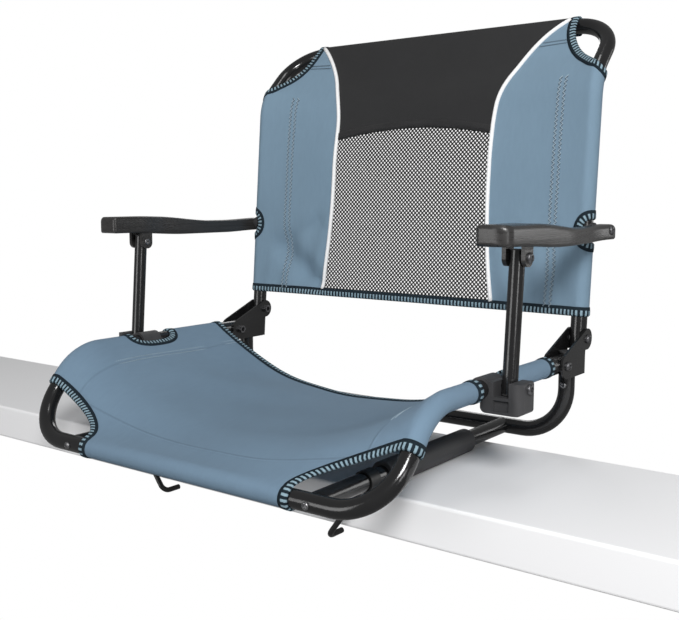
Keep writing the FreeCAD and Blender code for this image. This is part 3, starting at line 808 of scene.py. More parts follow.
@dataclass
class SeatSling(Sling):
    """Seat cloth: a hanging sheet with sleeves round both rails and the front bar."""

    face: float = -1.0
    leave: float = math.radians(30.0)
    wrap_turn: float = math.radians(250.0)
    wrap_columns: int = 22
    panel_columns: int = 110
    rear_rows: int = 16
    notch_rows: int = 26
    front_rows: int = 22
    corner_rows: int = 26
    bar_rows: int = 20
    sleeve_points: int = 20
    bar_points: int = 18
    halvings: int = 40
    crowding: float = 0.35
    rear_y: float = 0.318
    sag: float = 0.066
    sag_run: float = 0.095
    flattest: float = 0.3
    hang: float = 2.3
    front_half: float = 0.152
    corner_y: float = 0.0395
    notch_front: float = 0.154
    notch_rear: float = 0.217
    notch_depth: float = 0.011
    notch_power: int = 3
    flap: float = 0.030
    edge_power: int = 6
    lean_power: int = 5
    wave_height: float = 0.00126
    wave_rate: float = 38.0
    wave_fan: float = 9.0
    wave_start: float = 1.3
    wave_spread: float = 1.4
    lump_height: float = 0.00196
    lump_rate: float = 14.0
    lump_seed: float = 3.7
    fold_run: float = 0.06
    quiet_power: int = 6
    rail_row: Stitch = Stitch(0.0009, 0.0007, 0.0003, 152)
    stitch_insets: tuple[float, float] = (0.034, 0.039)
    stitch_front: float = 0.074
    stitch_rear: float = 0.306

    def __post_init__(self) -> None:
        """Works out the rows, from the rear edge to the underside of the front bar."""
        lay = self.layout
        self.path = lay.rail_path(self.rear_y)
        self.edge_x = lay.rail_x - lay.cloth_radius * math.sin(self.leave)
        self.notch_middle = (self.notch_front + self.notch_rear) / 2
        self.notch_span = (self.notch_rear - self.notch_front) / 2
        self.notch_from = self.rear_y - self.notch_rear
        self.notch_to = self.rear_y - self.notch_front
        self.sleeve_end = self.distance_at(self.corner_y)
        self.corner_from = self.sleeve_point(self.sleeve_end, -self.leave, 1.0).y - lay.front_y
        self.over = spread(-self.leave, self.wrap_turn, self.sleeve_points)
        middle = self.rear_y - self.notch_middle
        self.rows = [(Zone.SLEEVE, distance) for distance in spread(0.0, self.notch_from, self.rear_rows)]
        for turn in spread(-QUARTER, QUARTER, self.notch_rows)[1:-1]:
            self.rows.append((Zone.NOTCH, middle + self.notch_span * math.sin(turn)))
        front = spread(self.notch_to, self.sleeve_end, self.front_rows)
        self.rows += [(Zone.SLEEVE, distance) for distance in front]
        self.rows += [(Zone.CORNER, math.sin(turn)) for turn in spread(QUARTER, 0.0, self.corner_rows)[1:]]
        self.rows += [(Zone.BAR, turn) for turn in spread(0.0, self.wrap_turn, self.bar_rows)[1:]]

    def distance_at(self, y: float) -> float:
        """Distance along the rail at which its axis stands at a given depth, found by halving."""
        low, high = 0.0, self.path.length
        for _ in range(self.halvings):
            middle = (low + high) / 2
            if self.depth_at(middle) > y:
                low = middle
            else:
                high = middle
        return low

    def depth_at(self, distance: float) -> float:
        """Depth behind the front bar at a distance along the rail."""
        return self.path.at(distance)[0].y - self.layout.front_y

    def middle_height(self, y: float) -> float:
        """Height of the cloth above the bench on the middle line."""
        bar = self.layout.bar_height + self.layout.cloth_radius
        low = self.layout.rail_height - self.sag
        return bar + (low - bar) * smooth_step(y / self.sag_run)

    def rail_top(self, y: float) -> float:
        """Height of the cloth's side line above the bench, carried on to the front bar."""
        spot, heading = self.path.at(self.distance_at(y))
        lift = self.layout.cloth_radius * math.cos(self.leave) / max(self.flattest, abs(heading.y))
        return spot.z - self.layout.bench_z + lift

    def folds(self, x: float, y: float) -> float:
        """Small rise and fall of the cloth: lumps, and slack waves that fan out from the rails."""
        share = abs(x) / self.edge_x
        wave = math.sin(self.wave_rate * y + self.wave_fan * share + self.wave_start)
        wave *= smooth_step(share * self.wave_spread)
        lumps = noise.noise(Vector((x * self.lump_rate, y * self.lump_rate, self.lump_seed)))
        quiet = smooth_step(y / self.fold_run) * max(0.0, 1 - share ** self.quiet_power)
        return (self.wave_height * wave + self.lump_height * lumps) * quiet

    def on_sheet(self, x: float, y: float, sign: float = 1.0, lift: float = 0.0) -> Vector:
        """Point on the hanging sheet, or that far above it, put on the side that the sign names."""
        middle = self.middle_height(y)
        share = min(1.0, abs(x) / self.edge_x)
        height = middle + (self.rail_top(y) - middle) * share ** self.hang + self.folds(x, y)
        return self.layout.spot(sign * x, y, height + lift)

    def corner(self, value: float, inset: float = 0.0) -> tuple[float, float]:
        """Half width and depth on the curve of the front corner, or a length inside it."""
        wide = self.edge_x - self.front_half + inset
        x = self.edge_x - wide * math.sqrt(max(0.0, 1 - value * value))
        return x, (self.corner_from + inset * math.cos(self.layout.front_slope)) * value

    def outline(self, zone: Zone, value: float) -> tuple[float, float]:
        """Half width and depth of one row."""
        if zone is Zone.CORNER:
            return self.corner(value)
        if zone is Zone.BAR:
            return self.front_half, 0.0
        y = self.depth_at(value)
        if zone is Zone.SLEEVE:
            return self.edge_x, y
        bite = math.sqrt(1 - abs((y - self.notch_middle) / self.notch_span) ** self.notch_power)
        return self.edge_x - self.notch_depth * bite, y

    def bar_point(self, x: float, turn: float) -> Vector:
        """Point on the front bar's sleeve, by the turn forwards from straight up."""
        radius = self.layout.cloth_radius
        return self.layout.spot(x, -radius * math.sin(turn), self.layout.bar_height + radius * math.cos(turn))

    def lengths(self, column: int, row: int) -> tuple[float, float]:
        """Across and along lengths of one grid point, whose columns crowd beside the rails."""
        zone, value = self.rows[row]
        half, y = self.outline(zone, value)
        share = 2 * (column - self.wrap_columns) / self.panel_columns - 1
        across = half * (math.sin(share * QUARTER) * self.crowding + share * (1 - self.crowding))
        return across, value * self.layout.cloth_radius if zone is Zone.BAR else -y

    def place(self, column: int, row: int) -> Optional[Vector]:
        """Place of one grid point, or None where the cloth is cut away."""
        zone, value = self.rows[row]
        beyond = max(self.wrap_columns - column, column - self.wrap_columns - self.panel_columns)
        sign = -1.0 if column < self.wrap_columns + self.panel_columns / 2 else 1.0
        if beyond > 0:
            return self.wrapped(value, beyond, sign) if zone is Zone.SLEEVE else None
        x = self.lengths(column, row)[0]
        if zone is Zone.BAR:
            return self.bar_point(x, value)
        y = self.outline(zone, value)[1]
        if zone is not Zone.CORNER:
            edge = self.sleeve_point(value, -self.leave, sign)
            y += (edge.y - self.layout.front_y - y) * abs(x / self.edge_x) ** self.edge_power
        return self.on_sheet(x, y)

    def flap_end(self, distance: float, sign: float) -> Vector:
        """Place under the sheet where the sleeve's flap is sewn on."""
        return self.on_sheet(self.edge_x - self.flap, self.depth_at(distance), sign, -2 * self.thickness)

    def edge_line(self, zone: Zone, sign: float, inset: float) -> Points:
        """Side edge of the sheet over the rows of one zone, or the line an inset inside it."""
        column = self.wrap_columns + (self.panel_columns if sign > 0 else 0)
        points = []
        for row, (kind, value) in enumerate(self.rows):
            if kind is not zone:
                continue
            edge = self.place(column, row)
            if not inset:
                points.append(edge)
            elif zone is Zone.CORNER:
                points.append(self.on_sheet(*self.corner(value, inset), sign))
            else:
                lean = ((value - self.rear_y + self.notch_middle) / self.notch_span) ** self.lean_power
                x = abs(edge.x) - inset * (1 - abs(lean))
                points.append(self.on_sheet(x, edge.y - self.layout.front_y - lean * inset, sign))
        return points

    def corner_line(self, sign: float, inset: float) -> Points:
        """Edge of one front corner, from under the rail's sleeve to under the bar's."""
        sleeve = self.ring(self.sleeve_end - inset, self.over[::-1], sign)
        turns = spread(0, self.wrap_turn, self.bar_points)[1:]
        bar = [self.bar_point(sign * (self.front_half - inset), turn) for turn in turns]
        return sleeve + self.edge_line(Zone.CORNER, sign, inset) + bar

    def notch_line(self, sign: float, inset: float) -> Points:
        """Edge of the notch round one arm socket, with the sleeve ends at both sides."""
        rear = self.ring(self.notch_from - inset, self.over[::-1], sign)
        front = self.ring(self.notch_to + inset, self.over, sign)
        return rear + self.edge_line(Zone.NOTCH, sign, inset) + front

    def hem_line(self, inset: float) -> Points:
        """Rear edge from one sleeve's underside to the other's."""
        columns = range(self.wrap_columns, self.wrap_columns + self.panel_columns + 1)
        sheet = [self.on_sheet(self.lengths(column, 0)[0], self.rear_y - inset) for column in columns]
        return self.ring(inset, self.over[:0:-1], -1.0) + sheet + self.ring(inset, self.over[1:], 1.0)

    def stitch(self, sweep: Sweep) -> None:
        """Sews a double zigzag line inside each rail, where the sleeve is closed."""
        row = self.rail_row
        depths = spread(self.stitch_rear, self.stitch_front, row.count)
        for sign, inset in product(SIDES.values(), self.stitch_insets):
            points = [self.on_sheet(self.edge_x - inset + swing, y, sign, row.lift)
                      for y, swing in zip(depths, row.swings())]
            row.sew(sweep, points, [UPWARDS] * row.count)

    def build(self, finishes: Finishes) -> None:
        """Builds the cloth, its binding and its stitching."""
        columns = self.panel_columns + 2 * self.wrap_columns + 1
        mesh = cloth_mesh(columns, len(self.rows), self.place, self.lengths)
        cloth = make_piece("seat_cloth", mesh, finishes.seat_cloth, "seat_base", ["seat_sling"])
        thicken(cloth, self.thickness)
        tape = outward(Sweep(self.bind).mesh)
        binding = make_piece("seat_binding", tape, finishes.tape, "seat_base")
        seams = outward(Sweep(self.stitch).mesh)
        sewing = make_piece("seat_stitching", seams, finishes.thread, "seat_base")


# Back


@dataclass(frozen=True)
class Crease:
    """Soft groove in a sheet, from one place across and up it to another."""

    start: tuple[float, float]
    end: tuple[float, float]
    depth: float
    width: float

    def at(self, x: float, distance: float) -> float:
        """Drop of the surface at one place."""
        first = Vector(self.start)
        run = Vector(self.end) - first
        away = Vector((x, distance)) - first
        share = min(1.0, max(0.0, away.dot(run) / run.length_squared))
        gap = (away - run * share).length / self.width
        return self.depth * math.exp(-gap * gap)


@dataclass
class BackSling(Sling):
    """Back cloth: blue sides with sleeves, a black upper panel, a knitted mesh, piping and hem."""

    wrap_turn: float = math.radians(215.0)
    panel_columns: int = 40
    low_rows: int = 22
    notch_rows: int = 18
    high_rows: int = 40
    corner_rows: int = 24
    bar_rows: int = 16
    hem_points: int = 90
    notch_points: int = 30
    behind_points: int = 10
    corner_points: int = 14
    arch_points: int = 60
    piping_points: int = 90
    piping_sides: int = 8
    hem_height: float = 0.152
    side_top: float = 0.4495
    top_half: float = 0.206
    corner_lift: float = 0.033
    slant_run: float = 0.030
    arm_height: float = 0.2522
    notch_half: float = 0.0142
    notch_wrap: float = 0.0128
    bow: float = 0.008
    valley: float = 0.004
    valley_power: int = 10
    bend_dip: float = 0.011
    waist: float = 0.1235
    hem_flare: float = 0.014
    top_flare: float = 0.0725
    top_power: float = 2.8
    waist_low: float = 0.313
    waist_high: float = 0.372
    arch_rise: float = 0.013
    flap_x: float = 0.206
    wave_height: float = 0.0020
    wave_reach: float = 0.16
    wave_rate: float = 46.0
    wave_fans: tuple[float, float] = (39.0, 30.0)  # left, right
    wave_starts: tuple[float, float] = (2.1, 0.6)  # left, right
    lump_height: float = 0.0016
    lump_rates: tuple[float, float] = (11.0, 9.0)
    lump_seed: float = 1.9
    quiet_hem: float = 0.02
    quiet_seam: float = 0.025
    quiet_sleeve: float = 9.0
    black_rows: int = 40
    black_columns: int = 61
    black_half: float = 0.15
    black_step: float = 0.0038
    mesh_pitch: float = 0.0040
    mesh_slant: float = math.radians(45.0)
    hole_sides: int = 8
    mesh_strand: float = 0.00145
    mesh_knot: float = 0.0007
    mesh_thickness: float = 0.0006
    mesh_sink: float = 0.0014
    mesh_margins: tuple[float, float, float] = (0.001, 0.005, 0.003)
    piping_radius: float = 0.0028
    piping_lift: float = 0.0006
    piping_start: float = 0.009
    side_row: Stitch = Stitch(0.0018, 0.0011, 0.0006, 98)
    # Dark rows a little below the pale rows: painted stitch shadow and needle-hole shade.
    shadow_row: Stitch = Stitch(0.0018, 0.0006, 0.0006, 98)
    shadow_drop: float = 0.0014
    stitch_x: tuple[float, float] = (0.2060, 0.2138)
    stitch_shift: float = 0.0060
    stitch_ends: tuple[float, float] = (0.003, 0.012)
    top_row: Stitch = Stitch(0.0008, 0.0007, 0.0005, 24)
    top_drops: tuple[float, float] = (0.036, 0.041)
    top_start: float = 0.006
    top_step: float = 0.0016
    creases: tuple[Crease, ...] = (Crease((-0.210, 0.066), (-0.150, 0.018), 0.0105, 0.018),
                                   Crease((-0.195, 0.082), (-0.148, 0.104), 0.0036, 0.012),
                                   Crease((0.238, 0.078), (0.195, 0.020), 0.0030, 0.013))

    def __post_init__(self) -> None:
        """Works out the rows, from the hem to the rear of the top bar."""
        self.path = self.layout.back_path(self.hem_height)
        self.side_end = self.distance_at(self.side_top)
        self.arm_at = self.distance_at(self.arm_height)
        self.notch_from = self.arm_at - self.notch_half
        self.notch_to = self.arm_at + self.notch_half
        distances = spread(0.0, self.notch_from, self.low_rows)
        for turn in spread(-QUARTER, QUARTER, self.notch_rows)[1:-1]:
            distances.append(self.arm_at + self.notch_half * math.sin(turn))
        distances += spread(self.notch_to, self.side_end, self.high_rows)
        self.corner_shares = spread(0.0, 1.0, self.corner_rows)[1:]
        self.bar_turns = spread(0.0, self.wrap_turn, self.bar_rows)
        self.rows = [(Zone.SLEEVE, distance) for distance in distances]
        self.rows += [(Zone.CORNER, share) for share in self.corner_shares]
        self.rows += [(Zone.BAR, turn) for turn in self.bar_turns[1:]]

    def distance_at(self, height: float) -> float:
        """Distance from the hem up the straight of the back at a height above the bench."""
        return (height - self.hem_height) / math.cos(self.layout.recline)

    def height_at(self, distance: float) -> float:
        """Height above the bench at a distance up the back."""
        return self.path.at(distance)[0].z - self.layout.bench_z

    def seam_x(self, distance: float) -> float:
        """Half width of the middle panels at a distance up the back."""
        height = self.height_at(distance)
        top = self.height_at(self.path.length)
        low = max(0.0, (self.waist_low - height) / (self.waist_low - self.hem_height))
        high = max(0.0, (height - self.waist_high) / (top - self.waist_high))
        return self.waist + self.hem_flare * low ** 2 + self.top_flare * high ** self.top_power

    def arch_at(self, x: float) -> float:
        """Distance up the back of the black panel's arched lower edge."""
        return self.distance_at(self.waist_high) + self.arch_rise * (1 - (x / self.waist) ** 2)

    def folds(self, x: float, distance: float) -> float:
        """Lumps, creases and slack waves of the side cloths, the waves strongest near the hem."""
        if abs(x) < self.waist:
            return 0.0
        share = abs(x) / self.layout.rail_x
        low = 1 - smooth_step(distance / self.wave_reach)
        wave = math.sin(self.wave_rate * distance + self.wave_fans[x > 0] * share + self.wave_starts[x > 0])
        lumps = noise.noise(Vector((x * self.lump_rates[0], distance * self.lump_rates[1], self.lump_seed)))
        quiet = smooth_step((1 - share) * self.quiet_sleeve) * smooth_step(distance / self.quiet_hem)
        aside = smooth_step((abs(x) - self.waist) / self.quiet_seam)
        drop = sum(crease.at(x, distance) for crease in self.creases)
        return quiet * aside * (self.wave_height * low * wave + self.lump_height * lumps - drop)

    def point(self, x: float, distance: float, lift: float = 0.0) -> Vector:
        """Point on the cloth's front surface, or that far in front of it."""
        path = self.path
        fade = 1 - smooth_step((distance - self.side_end) / (path.length - self.side_end))
        bend = (path.first + path.second) / 2
        near = max(0.0, 1 - abs(distance - bend) / (path.length - bend))
        share = x / self.layout.rail_x
        dip = (self.bow * fade + self.bend_dip * smooth_step(near)) * (1 - share ** 2)
        dip += self.valley * fade * (1 - share ** self.valley_power)
        out = self.layout.cloth_radius - dip + self.folds(x, distance) * fade + lift
        return path.at(distance)[0] + x * SIDEWAYS + self.face_at(distance) * out

    def bar_point(self, x: float, turn: float) -> Vector:
        """Point on the top bar's sleeve, by the turn over the top from the front."""
        spot, heading = self.path.at(self.path.length)
        out = math.cos(turn) * self.face_at(self.path.length) + math.sin(turn) * heading
        return spot + x * SIDEWAYS + out * self.layout.cloth_radius

    def corner(self, share: float, inset: float = 0.0) -> tuple[float, float]:
        """Half width and distance up the back on the curve of the top corner, or a length inside it."""
        wide = self.layout.rail_x - self.top_half
        rise = self.path.length - self.side_end
        inward = wide * share * (2 - share)
        up = 2 * share * (1 - share) * self.corner_lift + share ** 2 * rise
        heading = Vector((wide * (1 - share), (1 - 2 * share) * self.corner_lift + share * rise)).normalized()
        return self.layout.rail_x - inward - inset * heading.y, self.side_end + up - inset * heading.x

    def sleeve_drop(self, turn: float) -> float:
        """How far the slanted upper end of a side sleeve lies below its front."""
        slope = self.corner_lift / (self.layout.rail_x - self.top_half)
        return slope * self.layout.cloth_radius * math.sin(min(turn, QUARTER))

    def outline(self, zone: Zone, value: float) -> tuple[float, float]:
        """Outer half width and distance up the back of one row."""
        if zone is Zone.CORNER:
            return self.corner(value)
        if zone is Zone.BAR:
            return self.top_half, self.path.length
        return self.layout.rail_x, value

    def place(self, sign: float, column: int, row: int) -> Optional[Vector]:
        """Place of a side cloth's grid point, by columns from the piping outwards and round the tube."""
        zone, value = self.rows[row]
        outer, distance = self.outline(zone, value)
        beyond = column - self.panel_columns
        if beyond > 0:
            return self.wrapped(distance, beyond, sign) if zone is Zone.SLEEVE else None
        inner = self.seam_x(distance)
        x = sign * (inner + (outer - inner) * column / self.panel_columns)
        return self.bar_point(x, value) if zone is Zone.BAR else self.point(x, distance)

    def lengths(self, column: int, row: int) -> tuple[float, float]:
        """Across and along lengths of a side cloth's grid point."""
        zone, value = self.rows[row]
        outer, distance = self.outline(zone, value)
        inner = self.seam_x(distance)
        radius = self.layout.cloth_radius
        along = distance + (value * radius if zone is Zone.BAR else 0.0)
        share = min(column, self.panel_columns) / self.panel_columns
        wrap = radius * self.wrap_turn * max(0, column - self.panel_columns) / self.wrap_columns
        return inner + (outer - inner) * share + wrap, along

    def around(self, distance: float, turn: float, sign: float) -> Optional[Vector]:
        """Point of the sleeve's cloth, or None in the notch that is cut for the arm."""
        share = abs(distance - self.arm_at) / self.notch_half
        if share < 1:
            cut = self.notch_wrap * (1 - math.sqrt(1 - share ** 2))
            if turn * self.layout.cloth_radius > cut:
                return None
        near_end = smooth_step(1 - (self.side_end - distance) / self.slant_run)
        return self.sleeve_point(distance - self.sleeve_drop(turn) * near_end, turn, sign)

    def flap_end(self, distance: float, sign: float) -> Vector:
        """Place behind the cloth where the sleeve's flap is sewn on."""
        return self.point(sign * self.flap_x, distance, -2 * self.thickness)

    def beside(self, length: float, distance: float, sign: float) -> Vector:
        """Point by its length past the tube's front, on the panel where that is below zero."""
        if length > 0:
            return self.sleeve_point(distance, length / self.layout.cloth_radius, sign)
        return self.point(sign * (self.layout.rail_x + length), distance)

    def black_place(self, column: int, row: int) -> Vector:
        """Place of a grid point of the upper panel, from its arched edge over the top bar."""
        share = 2 * column / (self.black_columns - 1) - 1
        if row < self.black_rows:
            start = self.arch_at(share * self.waist)
            distance = start + (self.path.length - start) * row / self.black_rows
            return self.point(share * self.seam_x(distance), distance)
        return self.bar_point(share * self.seam_x(self.path.length), self.bar_turns[row - self.black_rows])

    def black_lengths(self, column: int, row: int) -> tuple[float, float]:
        """Across and along lengths of a grid point of the upper panel."""
        share = 2 * column / (self.black_columns - 1) - 1
        return share * self.black_half, self.black_step * row

    def in_net(self, x: float, distance: float) -> bool:
        """Whether a cell belongs to the knitted mesh, which runs a little under its borders."""
        low, high, aside = self.mesh_margins
        if not -low < distance < self.arch_at(min(abs(x), self.waist)) + high:
            return False
        return abs(x) <= self.seam_x(max(0.0, distance)) + aside

    def net_mesh(self) -> Mesh:
        """Knitted mesh: a slanted grid with every cell opened, carried on to the back's surface."""
        top = self.arch_at(0.0)
        count = int((self.waist + self.hem_flare + top) / self.mesh_pitch)
        mesh = bmesh.new()
        along, _ = length_layers(mesh)
        bmesh.ops.create_grid(mesh, x_segments=count, y_segments=count, size=count * self.mesh_pitch / 2)
        turn = Matrix.Rotation(self.mesh_slant, 3, "Z")
        bmesh.ops.rotate(mesh, cent=Vector(), matrix=turn, verts=mesh.verts)
        bmesh.ops.translate(mesh, vec=Vector((0, top / 2, 0)), verts=mesh.verts)
        outside = [face for face in mesh.faces if not self.in_net(*face.calc_center_median().xy)]
        bmesh.ops.delete(mesh, geom=outside, context="FACES")
        cells = list(mesh.faces)
        bmesh.ops.inset_individual(mesh, faces=cells, thickness=self.mesh_strand / 2, use_even_offset=True)
        corners = list({vert for face in cells for vert in face.verts})
        bmesh.ops.bevel(mesh, geom=corners, offset=self.mesh_knot, segments=1, profile=0.5, affect="VERTICES",
                        material=-1)
        holes = [face for face in mesh.faces if len(face.verts) == self.hole_sides]
        bmesh.ops.delete(mesh, geom=holes, context="FACES")
        for vert in mesh.verts:
            vert[along] = vert.co.x + vert.co.y
            vert.co = self.point(vert.co.x, max(0.0, vert.co.y), -self.mesh_sink)
        return mesh

    def hem_line(self, inset: float) -> Points:
        """Lower edge from behind one tube to behind the other."""
        turns = self.bar_turns[1:]
        flats = spread(-self.layout.rail_x, self.layout.rail_x, self.hem_points)
        middle = [self.point(x, inset) for x in flats]
        return self.ring(inset, turns[::-1], -1.0) + middle + self.ring(inset, turns, 1.0)

    def notch_line(self, sign: float, inset: float) -> Points:
        """Edge of the notch for one arm, from behind the tube and back."""
        edge_turn = self.notch_wrap / self.layout.cloth_radius
        behind = spread(self.wrap_turn, edge_turn, self.behind_points)[:-1]
        arc = []
        for turn in spread(-QUARTER, QUARTER, self.notch_points):
            length = self.notch_wrap - (self.notch_wrap + inset) * math.cos(turn)
            arc.append(self.beside(length, self.arm_at + (self.notch_half + inset) * math.sin(turn), sign))
        above = self.ring(self.notch_to + inset, behind[::-1], sign)
        return self.ring(self.notch_from - inset, behind, sign) + arc + above

    def corner_line(self, sign: float, inset: float) -> Points:
        """Edge of one top corner, from behind the side tube to behind the top bar."""
        points = []
        for turn in spread(self.wrap_turn, 0.0, self.corner_points):
            points.append(self.sleeve_point(self.side_end - self.sleeve_drop(turn) - inset, turn, sign))
        for share in self.corner_shares:
            x, distance = self.corner(share, inset)
            points.append(self.point(sign * x, distance))
        return points + [self.bar_point(sign * (self.top_half - inset), turn) for turn in self.bar_turns[1:]]

    def arch_line(self, inset: float) -> Points:
        """Line along the black panel's arched edge, from a tape width above it downwards."""
        across = spread(self.waist, -self.waist, self.arch_points)
        return [self.point(x, self.arch_at(x) + self.trim.tape_width - inset) for x in across]

    def pipe(self, sweep: Sweep) -> None:
        """Lays white piping along both seams between the blue sides and the middle."""
        distances = spread(self.piping_start, self.path.length, self.piping_points)
        normals = [self.face_at(distance) for distance in distances]
        for sign in SIDES.values():
            points = [self.point(sign * self.seam_x(distance), distance, self.piping_lift)
                      for distance in distances]
            sweep.thread(points, normals, self.piping_radius, self.piping_sides)

    def stitch(self, sweep: Sweep, row: Stitch, drop: float) -> None:
        """Sews double zigzag lines beside the sleeves, moved down the cloth by a drop."""
        low, high = self.stitch_ends
        distances = spread(low, self.side_end - high, row.count)
        normals = [self.face_at(distance) for distance in distances]
        for sign, x in product(SIDES.values(), self.stitch_x):
            points = [self.point(sign * (x + swing) + self.stitch_shift, distance - drop, row.lift)
                      for distance, swing in zip(distances, row.swings())]
            row.sew(sweep, points, normals)

    def stitch_top(self, sweep: Sweep) -> None:
        """Sews short rows under the top bar's sleeve."""
        row = self.top_row
        for sign, drop in product(SIDES.values(), self.top_drops):
            distance = self.path.length - drop
            start = self.seam_x(distance) + self.top_start
            points = [self.point(sign * (start + self.top_step * step), distance + swing, row.lift)
                      for step, swing in enumerate(row.swings())]
            row.sew(sweep, points, [self.face_at(distance)] * row.count)

    def build(self, finishes: Finishes) -> None:
        """Builds the side cloths, upper panel, mesh, binding, piping and stitching."""
        bright_rows = partial(self.stitch, row=self.side_row, drop=0.0)
        # Painted stitch shadow: dark rows a little below the pale ones.
        shadow_rows = partial(self.stitch, row=self.shadow_row, drop=self.shadow_drop)
        binding, piping, sewing, tacks = (
            make_piece(name, outward(Sweep(*fillers).mesh), finish, "backrest")
            for name, finish, fillers in (("back_binding", finishes.tape, [self.bind]),
                                          ("back_piping", finishes.piping, [self.pipe]),
                                          ("back_stitching", finishes.thread, [bright_rows]),
                                          ("back_dark_stitching", finishes.dark_thread,
                                           [self.stitch_top, shadow_rows])))
        columns = self.panel_columns + self.wrap_columns + 1
        for side, sign in SIDES.items():
            mesh = cloth_mesh(columns, len(self.rows), partial(self.place, sign), self.lengths)
            cloth = make_piece(f"back_{side}_cloth", mesh, finishes.blue_cloth, "backrest",
                               ["back_sling"])
            thicken(cloth, self.thickness)
        mesh = cloth_mesh(self.black_columns, self.black_rows + len(self.bar_turns), self.black_place,
                          self.black_lengths)
        panel = make_piece("back_black_cloth", mesh, finishes.black_cloth, "backrest",
                           ["back_top_panel"])
        thicken(panel, self.thickness)
        fold = outward(Sweep(lambda sweep: self.trim.bind(sweep, self.arch_line)).mesh)
        hem = make_piece("back_arch_hem", fold, finishes.black_cloth, "backrest")
        net = make_piece("back_mesh_cloth", self.net_mesh(), finishes.black_mesh, "backrest",
                         ["back_mesh_panel"])
        thicken(net, self.mesh_thickness)


# Screws


@dataclass
class SocketScrew:
    """Button-head screw with a hexagon socket, in place of a plain solid."""

    head_radius: float = 0.0055
    head_height: float = 0.0036
    socket_radius: float = 0.0026
    socket_depth: float = 0.0022
    shank_radius: float = 0.003
    shank_length: float = 0.012
    rim_sides: int = 24
    shank_sides: int = 16
    dome: tuple = ((1.0, 0.45), (0.90, 0.75), (0.74, 0.94), (0.62, 1.0))
    well: tuple = ((1.0, 0.0), (0.92, 0.0), (0.90, 1.0))

    def rings(self) -> list[tuple[float, float, bool]]:
        """Radius, height and whether it is hexagonal of each ring from the rim into the socket."""
        rings = [(self.head_radius * share, self.head_height * rise, False) for share, rise in self.dome]
        for share, drop in self.well:
            rings.append((self.socket_radius * share, self.head_height - self.socket_depth * drop, True))
        return rings

    def add(self, mesh: Mesh, seat: Vector, out: Vector) -> None:
        """Adds one screw.

        Args:
            mesh: the mesh that takes it.
            seat: the middle of the head's underside.
            out: the way the head points.
        """
        rim = bmesh.ops.create_circle(mesh, cap_ends=True, segments=self.rim_sides,
                                      radius=self.head_radius)["verts"]
        verts = set(rim)
        cap = rim[0].link_faces[0]
        for radius, height, hexagonal in self.rings():
            cap = bmesh.ops.extrude_discrete_faces(mesh, faces=[cap])["faces"][0]
            for vert in cap.verts:
                turn = math.atan2(vert.co.y, vert.co.x)
                reach = radius / math.cos(turn % (math.pi / 3) - math.pi / 6) if hexagonal else radius
                vert.co = Vector((reach * math.cos(turn), reach * math.sin(turn), height))
            verts.update(cap.verts)
        shank = bmesh.ops.create_cone(mesh, cap_ends=True, segments=self.shank_sides,
                                      radius1=self.shank_radius, radius2=self.shank_radius,
                                      depth=self.shank_length)["verts"]
        bmesh.ops.translate(mesh, vec=UPWARDS * (-self.shank_length / 2), verts=shank)
        verts.update(shank)
        turned = UPWARDS.rotation_difference(out).to_matrix().to_4x4()
        bmesh.ops.transform(mesh, matrix=Matrix.Translation(seat) @ turned, verts=list(verts))


class HeadSide(Enum):
    """Way that a group's screw heads face."""

    OUTER = "outer"
    INNER = "inner"
    FRONT = "front"


@dataclass
class ScrewGroup:
    """Heads that stand for one node's screws."""

    node: str
    body: str
    screw: SocketScrew
    side: HeadSide
    finish: Material
    edge_width: float = 0.0002
    edge_steps: int = 2

    def seats(self) -> list[tuple[Vector, Vector]]:
        """Middle of each head's underside and the way that it points, from the node's box."""
        low, high = (Vector(corner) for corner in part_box(self.node))
        middle = (low + high) / 2
        places = []
        for name, sign in SIDES.items():
            if self.node.startswith(tuple(SIDES)) and not self.node.startswith(name):
                continue
            if self.side is HeadSide.FRONT:
                x = sign * (high.x - self.screw.head_radius)
                seat = Vector((x, low.y + self.screw.head_height, middle.z))
                places.append((seat, Vector((0, -1, 0))))
                continue
            way = sign if self.side is HeadSide.OUTER else -sign
            inset = self.screw.head_height if self.side is HeadSide.OUTER else 0.0
            x = (high.x if way > 0 else low.x) - way * inset
            places.append((Vector((x, middle.y, middle.z)), way * SIDEWAYS))
        return places

    def build(self) -> None:
        """Builds the group's heads with softened edges."""
        mesh = bmesh.new()
        for seat, out in self.seats():
            self.screw.add(mesh, seat, out)
        name = f"{self.node}_{self.side.value}_heads"
        piece = make_piece(name, outward(mesh), self.finish, self.body, [self.node])
        bevel = piece.modifiers.new("edges", "BEVEL")
        bevel.width = self.edge_width
        bevel.segments = self.edge_steps
        bevel.limit_method = "ANGLE"


class Fasteners:
    """Every screw and bolt head that shows, each group standing for its solid."""

    def __init__(self, finishes: Finishes) -> None:
        """Lists the groups."""
        large = SocketScrew()
        small = SocketScrew(0.004, 0.0024, 0.0023, 0.0020, 0.002, 0.010)
        rivet = SocketScrew(0.0042, 0.0014, 0.0020, 0.0012, 0.002, 0.004)
        outer = (large, HeadSide.OUTER, finishes.dark_steel)
        inner = (rivet, HeadSide.INNER, finishes.bright_steel)
        front = (small, HeadSide.FRONT, finishes.bright_steel)
        self.groups = [ScrewGroup(node, "seat_base", *outer)
                       for node in ("lower_hinge_bolts", "back_pivot_bolts", "socket_pins")]
        self.groups.append(ScrewGroup("arm_pivot_bolts", "backrest", *outer))
        for side, heads in product(SIDES, (outer, inner)):
            self.groups.append(ScrewGroup(f"{side}_ear_pin", f"{side}_arm", *heads))
        self.groups += [ScrewGroup(node, "seat_base", *front) for node in ("front_bar_screws", "leg_screws")]

    def build(self) -> None:
        """Builds every group."""
        for group in self.groups:
            group.build()


# Armrests


@dataclass(frozen=True)
class Ramp:
    """Soft change from 0 to 1 that starts at one length and takes another."""

    start: float
    run: float

    def at(self, length: float) -> float:
        """Share of the change at a length."""
        return smooth_step((length - self.start) / self.run)


